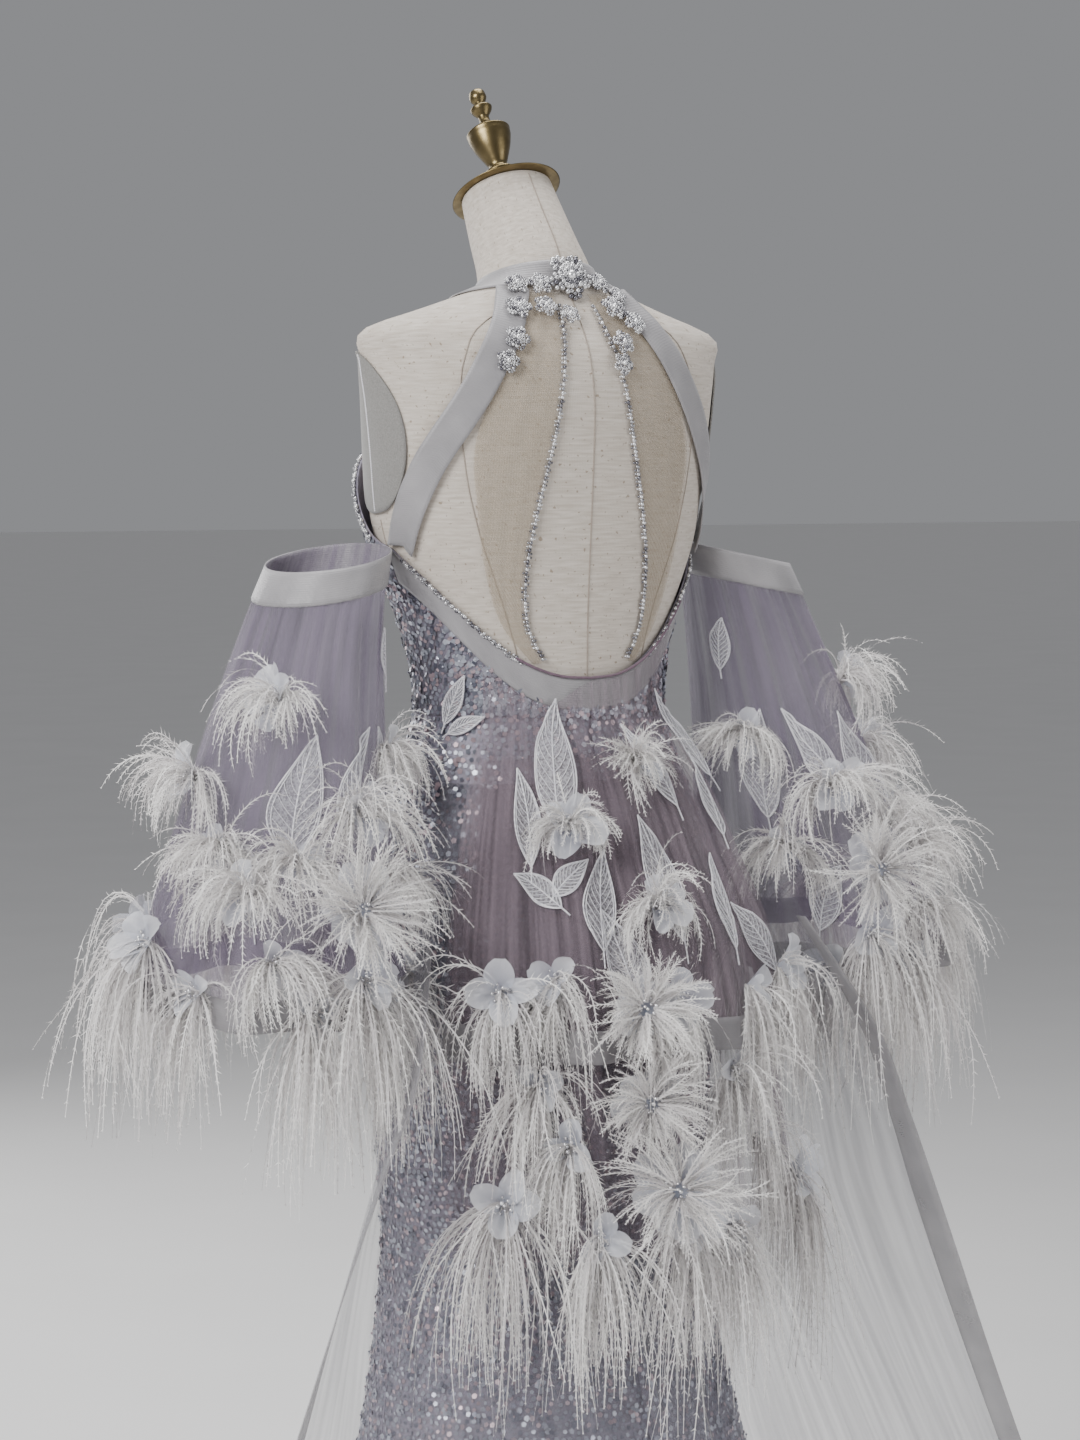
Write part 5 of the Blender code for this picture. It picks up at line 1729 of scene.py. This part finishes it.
def add_daisy(bundle, rng, root, way, radius):
    """Locks all round a flat flower."""
    settings = bpy.context.scene.gown
    side, upright = tangents(way)
    for k in range(DAISY_CLUMPS):
        turn = 2 * math.pi * (k + rng.uniform(-0.3, 0.3)) / DAISY_CLUMPS
        heading = side * math.cos(turn) + upright * math.sin(turn)
        heading = unit(heading + way * rng.uniform(0.15, 0.75))
        foot = root + heading * 0.008
        long = radius * rng.uniform(0.85, 1.2)
        paths = clump_of_strands(rng, foot, heading, long, 0.8, way * rng.normal(0, 0.3))
        add_strands(bundle, rng, paths, settings.barb_length)


def add_petal(bundle, rng, root, heading, way, long, wide, cup):
    """One rounded petal with a waved edge, cupped more or less."""
    aside = np.cross(way, heading)
    t = np.linspace(0.0, 1.0, 7)[:, None, None]
    c = np.linspace(-1.0, 1.0, 5)[None, :, None]
    half = wide / 2 * np.sin(np.clip(0.08 + 0.86 * t, 0, 1) * math.pi) ** 0.6
    wave = 0.05 * wide * np.sin(5 * c + 6 * t + rng.uniform(0, 6))
    lift = cup * long * np.sin(t * math.pi * 0.7) + 1.8 * cup * half * c * c + wave
    places = np.asarray(root) + heading * (long * t) + aside * (half * c) + way * lift
    # Darker towards the root, painted shade where the petal cups into the flower's heart; lighter along its
    # sides, with a little random tone.
    shade = np.clip(0.25 + 0.7 * t + 0.15 * np.abs(c) + rng.normal(0, 0.08), 0, 1)
    bundle.add(places.reshape(-1, 3), grid_faces(6, 4), shade.reshape(-1))


def add_heart(petals, stones, rng, root, way, size, petal_count, stone_count, cup=0.28):
    """The organza petals and the stones at the root of a feather flower."""
    side, upright = tangents(way)
    first = rng.uniform(0, 6)
    for k in range(petal_count):
        turn = first + 2 * math.pi * (k + rng.uniform(-0.2, 0.2)) / petal_count
        rise = way * rng.uniform(0.3, 1.8) * cup
        heading = unit(side * math.cos(turn) + upright * math.sin(turn) + rise)
        long = size * rng.uniform(0.8, 1.1)
        add_petal(petals, rng, root, heading, way, long, size * rng.uniform(0.7, 0.95), cup)
    for k in range(stone_count):
        away = 0.0030 * math.sqrt(k)
        turn = 2.4 * k
        centre = root + (side * math.cos(turn) + upright * math.sin(turn)) * away + way * (0.012 - 0.3 * away)
        add_bead(stones, centre, rng.uniform(0.0012, 0.0023), rng.uniform(0.3, 1.0))


def seated(surface, level, degrees, out):
    """The root of an ornament on a cloth, and the way the cloth faces there."""
    root = surface(level, degrees, out)
    way = (surface(level, degrees, out + 0.01) - root).normalized()
    return np.array(root), np.array(way)


def sleeve_cloth(side):
    def surface(level, degrees, out):
        return sleeve_point(side, level, degrees, TULLE_WALL + out)

    return surface


def tier_cloth(rows):
    def surface(level, degrees, out):
        def ring(lev, deg):
            return tier_point(rows, lev, deg)

        return lifted(ring, level, degrees, TULLE_WALL + out)

    return surface


def tuft_spray(reach, fall, lift):
    """Length, rise and weight of a spray, from a tuft of the solids."""
    hanging = fall > 0.07
    length = reach * 0.7 + fall * 0.85 + lift * 0.3
    return length, -0.34 if hanging else 0.45, 4.6 if hanging else 2.8


def feather_group(stem, surface, tufts, sprays, daisies, rng):
    """The feather flowers of one cloth: those of the solids, those between, petals, stones."""
    petals, stones = Bundle(), Bundle()
    for name, node, level, degrees, shape in tufts:
        root, way = seated(surface, level, degrees, 0.002)
        bundle = Bundle()
        add_spray(bundle, rng, root, way, *tuft_spray(*shape))
        link_piece(name, bundle.mesh(name), "ostrich_plume", "ostrich_feather", (node,))
        add_heart(petals, stones, rng, root, way, 0.032, 4, 9)
    between = Bundle()
    for level, degrees, *shape in sprays:
        root, way = seated(surface, level, degrees, 0.002)
        add_spray(between, rng, root, way, *shape)
        add_heart(petals, stones, rng, root, way, 0.026, 3, 7)
    for level, degrees, radius in daisies:
        root, way = seated(surface, level, degrees, DAISY_LIFT)
        add_heart(petals, stones, rng, root, way, radius * 0.62, 7, 26, 0.06)
        add_daisy(between, rng, root + way * 0.005, way, radius)
    for part, bundle, look, slot in (
        ("plumes", between, "ostrich_plume", "ostrich_feather"),
        ("petals", petals, "organza", "ostrich_feather"),
        ("stones", stones, "cut_glass", "crystal"),
    ):
        name = f"{stem}_{part}"
        link_piece(name, bundle.mesh(name), look, slot)


def build_feathers():
    """The ostrich feather flowers on both sleeves and on both tiers of the cape."""
    rng = np.random.default_rng(FEATHER_SEED)
    for word, side in (("left", 1), ("right", -1)):
        tufts = [
            (f"plumes_sleeve_{word}_{i + 1}", f"feathers_sleeve_{word}_{i + 1}", level,
             crest * 360 / SLEEVE_WAVES, shape)
            for i, (level, crest, *shape) in enumerate(SLEEVE_TUFTS)
        ]
        feather_group("sleeve_" + word, sleeve_cloth(side), tufts, SLEEVE_SPRAYS, SLEEVE_DAISIES, rng)
    numbered = [
        (f"plumes_cape_{i + 1}", f"feathers_cape_{i + 1}", level, crest * 360 / CAPE_WAVES, shape)
        for i, (level, crest, *shape) in enumerate(CAPE_TUFTS)
    ]
    hem = UPPER_TIER_ROWS[0][0]
    for stem, rows, sprays, daisies, tufts in (
        ("cape_upper", UPPER_TIER_ROWS, UPPER_SPRAYS, UPPER_DAISIES, [t for t in numbered if t[2] > hem]),
        ("cape_lower", LOWER_TIER_ROWS, LOWER_SPRAYS, LOWER_DAISIES, [t for t in numbered if t[2] <= hem]),
    ):
        feather_group(stem, tier_cloth(rows), tufts, sprays, daisies, rng)


# Stage

FLOOR_REACH = 60.0


def area_light(name, place, aim, size, power):
    """A large square light that faces a point."""
    data = bpy.data.lights.new(name, "AREA")
    data.size = size
    data.energy = power
    obj = bpy.data.objects.new(name, data)
    bpy.context.scene.collection.objects.link(obj)
    obj.location = place
    obj.rotation_euler = (Vector(aim) - Vector(place)).to_track_quat("-Z", "Y").to_euler()
    return obj


def build_stage():
    """The pale floor, the soft studio lights and the photo's camera."""
    scene = bpy.context.scene
    settings = scene.gown
    bm = bmesh.new()
    bmesh.ops.create_grid(bm, x_segments=1, y_segments=1, size=FLOOR_REACH)
    mesh = bpy.data.meshes.new("floor")
    bm.to_mesh(mesh)
    bm.free()
    mesh.materials.append(finish("pale_floor"))
    floor = bpy.data.objects.new("studio_floor", mesh)
    scene.collection.objects.link(floor)
    world = bpy.data.worlds.new("studio")
    world.use_nodes = True
    background = world.node_tree.nodes["Background"]
    background.inputs["Color"].default_value = (*settings.backdrop, 1.0)
    background.inputs["Strength"].default_value = 0.75
    scene.world = world
    aim = (0.0, 0.0, 0.9)
    place = Vector((
        math.sin(CAMERA_TURN) * CAMERA_DISTANCE, math.cos(CAMERA_TURN) * CAMERA_DISTANCE, CAMERA_HEIGHT))
    area_light("key", (2.9, 1.0, 2.7), aim, 1.6, settings.light_power)
    area_light("fill", (-1.9, 3.0, 1.6), aim, 2.2, settings.light_power * 0.30)
    area_light("top", (-0.3, -0.4, 3.2), aim, 1.5, settings.light_power * 0.45)
    area_light("front", (0.4, -3.2, 1.9), aim, 2.0, settings.light_power * 0.40)
    data = bpy.data.cameras.new("photo_camera")
    data.sensor_fit = "VERTICAL"
    data.sensor_height = SENSOR_HEIGHT
    data.lens = FOCAL_PIXELS * SENSOR_HEIGHT / PHOTO_HEIGHT
    camera = bpy.data.objects.new("photo_camera", data)
    scene.collection.objects.link(camera)
    camera.location = place
    camera.rotation_euler = (Vector((0, 0, AIM_HEIGHT)) - place).to_track_quat("-Z", "Y").to_euler()
    scene.camera = camera


# Operators and panel

class GOWN_OT_form(bpy.types.Operator):
    """Builds the linen torso, its seams, felt plates and brass"""
    bl_idname = "gown.form"
    bl_label = "Dress form"

    def execute(self, context):
        build_torso()
        build_form_seams()
        build_arm_plates()
        build_form_brass()
        return {"FINISHED"}


class GOWN_OT_stand(bpy.types.Operator):
    """Builds the pole and base"""
    bl_idname = "gown.stand"
    bl_label = "Stand"

    def execute(self, context):
        build_stand()
        return {"FINISHED"}


class GOWN_OT_sheath(bpy.types.Operator):
    """Builds the bodice and skirt with their sequins"""
    bl_idname = "gown.sheath"
    bl_label = "Sequinned sheath"

    def execute(self, context):
        build_sheath()
        build_sequins()
        return {"FINISHED"}


class GOWN_OT_halter(bpy.types.Operator):
    """Builds the neck band, yoke, straps and beaded flowers"""
    bl_idname = "gown.halter"
    bl_label = "Halter"

    def execute(self, context):
        build_neck_band()
        build_yoke()
        build_straps()
        build_nape_flowers()
        return {"FINISHED"}


class GOWN_OT_back(bpy.types.Operator):
    """Builds the net, bead strings and edge of the open back, and the cup edge"""
    bl_idname = "gown.back"
    bl_label = "Open back"

    def execute(self, context):
        build_back_net()
        build_back_edge()
        build_cup_edge()
        return {"FINISHED"}


class GOWN_OT_tulle(bpy.types.Operator):
    """Builds the sleeves, the cape and the train"""
    bl_idname = "gown.tulle"
    bl_label = "Tulle"

    def execute(self, context):
        build_sleeves()
        build_cape()
        build_train()
        return {"FINISHED"}


class GOWN_OT_leaves(bpy.types.Operator):
    """Builds the corded leaves"""
    bl_idname = "gown.leaves"
    bl_label = "Corded leaves"

    def execute(self, context):
        build_leaves()
        return {"FINISHED"}


class GOWN_OT_feathers(bpy.types.Operator):
    """Builds the feather flowers with their petals and stones"""
    bl_idname = "gown.feathers"
    bl_label = "Feathers"

    def execute(self, context):
        build_feathers()
        return {"FINISHED"}


class GOWN_OT_stage(bpy.types.Operator):
    """Builds the floor, lights and camera"""
    bl_idname = "gown.stage"
    bl_label = "Stage"

    def execute(self, context):
        build_stage()
        return {"FINISHED"}


OPERATORS = (
    GOWN_OT_form, GOWN_OT_stand, GOWN_OT_sheath, GOWN_OT_halter, GOWN_OT_back, GOWN_OT_tulle,
    GOWN_OT_leaves, GOWN_OT_feathers, GOWN_OT_stage,
)


class GOWN_PT_panel(bpy.types.Panel):
    """The gown's settings and the buttons that build its pieces"""
    bl_idname = "GOWN_PT_panel"
    bl_label = "Evening dress"
    bl_space_type = "VIEW_3D"
    bl_region_type = "UI"
    bl_category = PANEL_TAB

    def draw(self, context):
        settings = context.scene.gown
        for name in ("sequin_radius", "sequin_pitch", "clumps", "barb_length", "backdrop", "light_power"):
            self.layout.prop(settings, name)
        for operator in OPERATORS:
            self.layout.operator(operator.bl_idname)


CLASSES = (GownSettings, *OPERATORS, GOWN_PT_panel)


def register():
    for cls in CLASSES:
        bpy.utils.register_class(cls)
    bpy.types.Scene.gown = PointerProperty(type=GownSettings)


def unregister():
    del bpy.types.Scene.gown
    for cls in reversed(CLASSES):
        bpy.utils.unregister_class(cls)


def main():
    register()
    bpy.ops.gown.form()
    bpy.ops.gown.stand()
    bpy.ops.gown.sheath()
    bpy.ops.gown.halter()
    bpy.ops.gown.back()
    bpy.ops.gown.tulle()
    bpy.ops.gown.leaves()
    bpy.ops.gown.feathers()
    bpy.ops.gown.stage()
    bpy.context.view_layer.update()


if __name__ == "__main__":
    main()
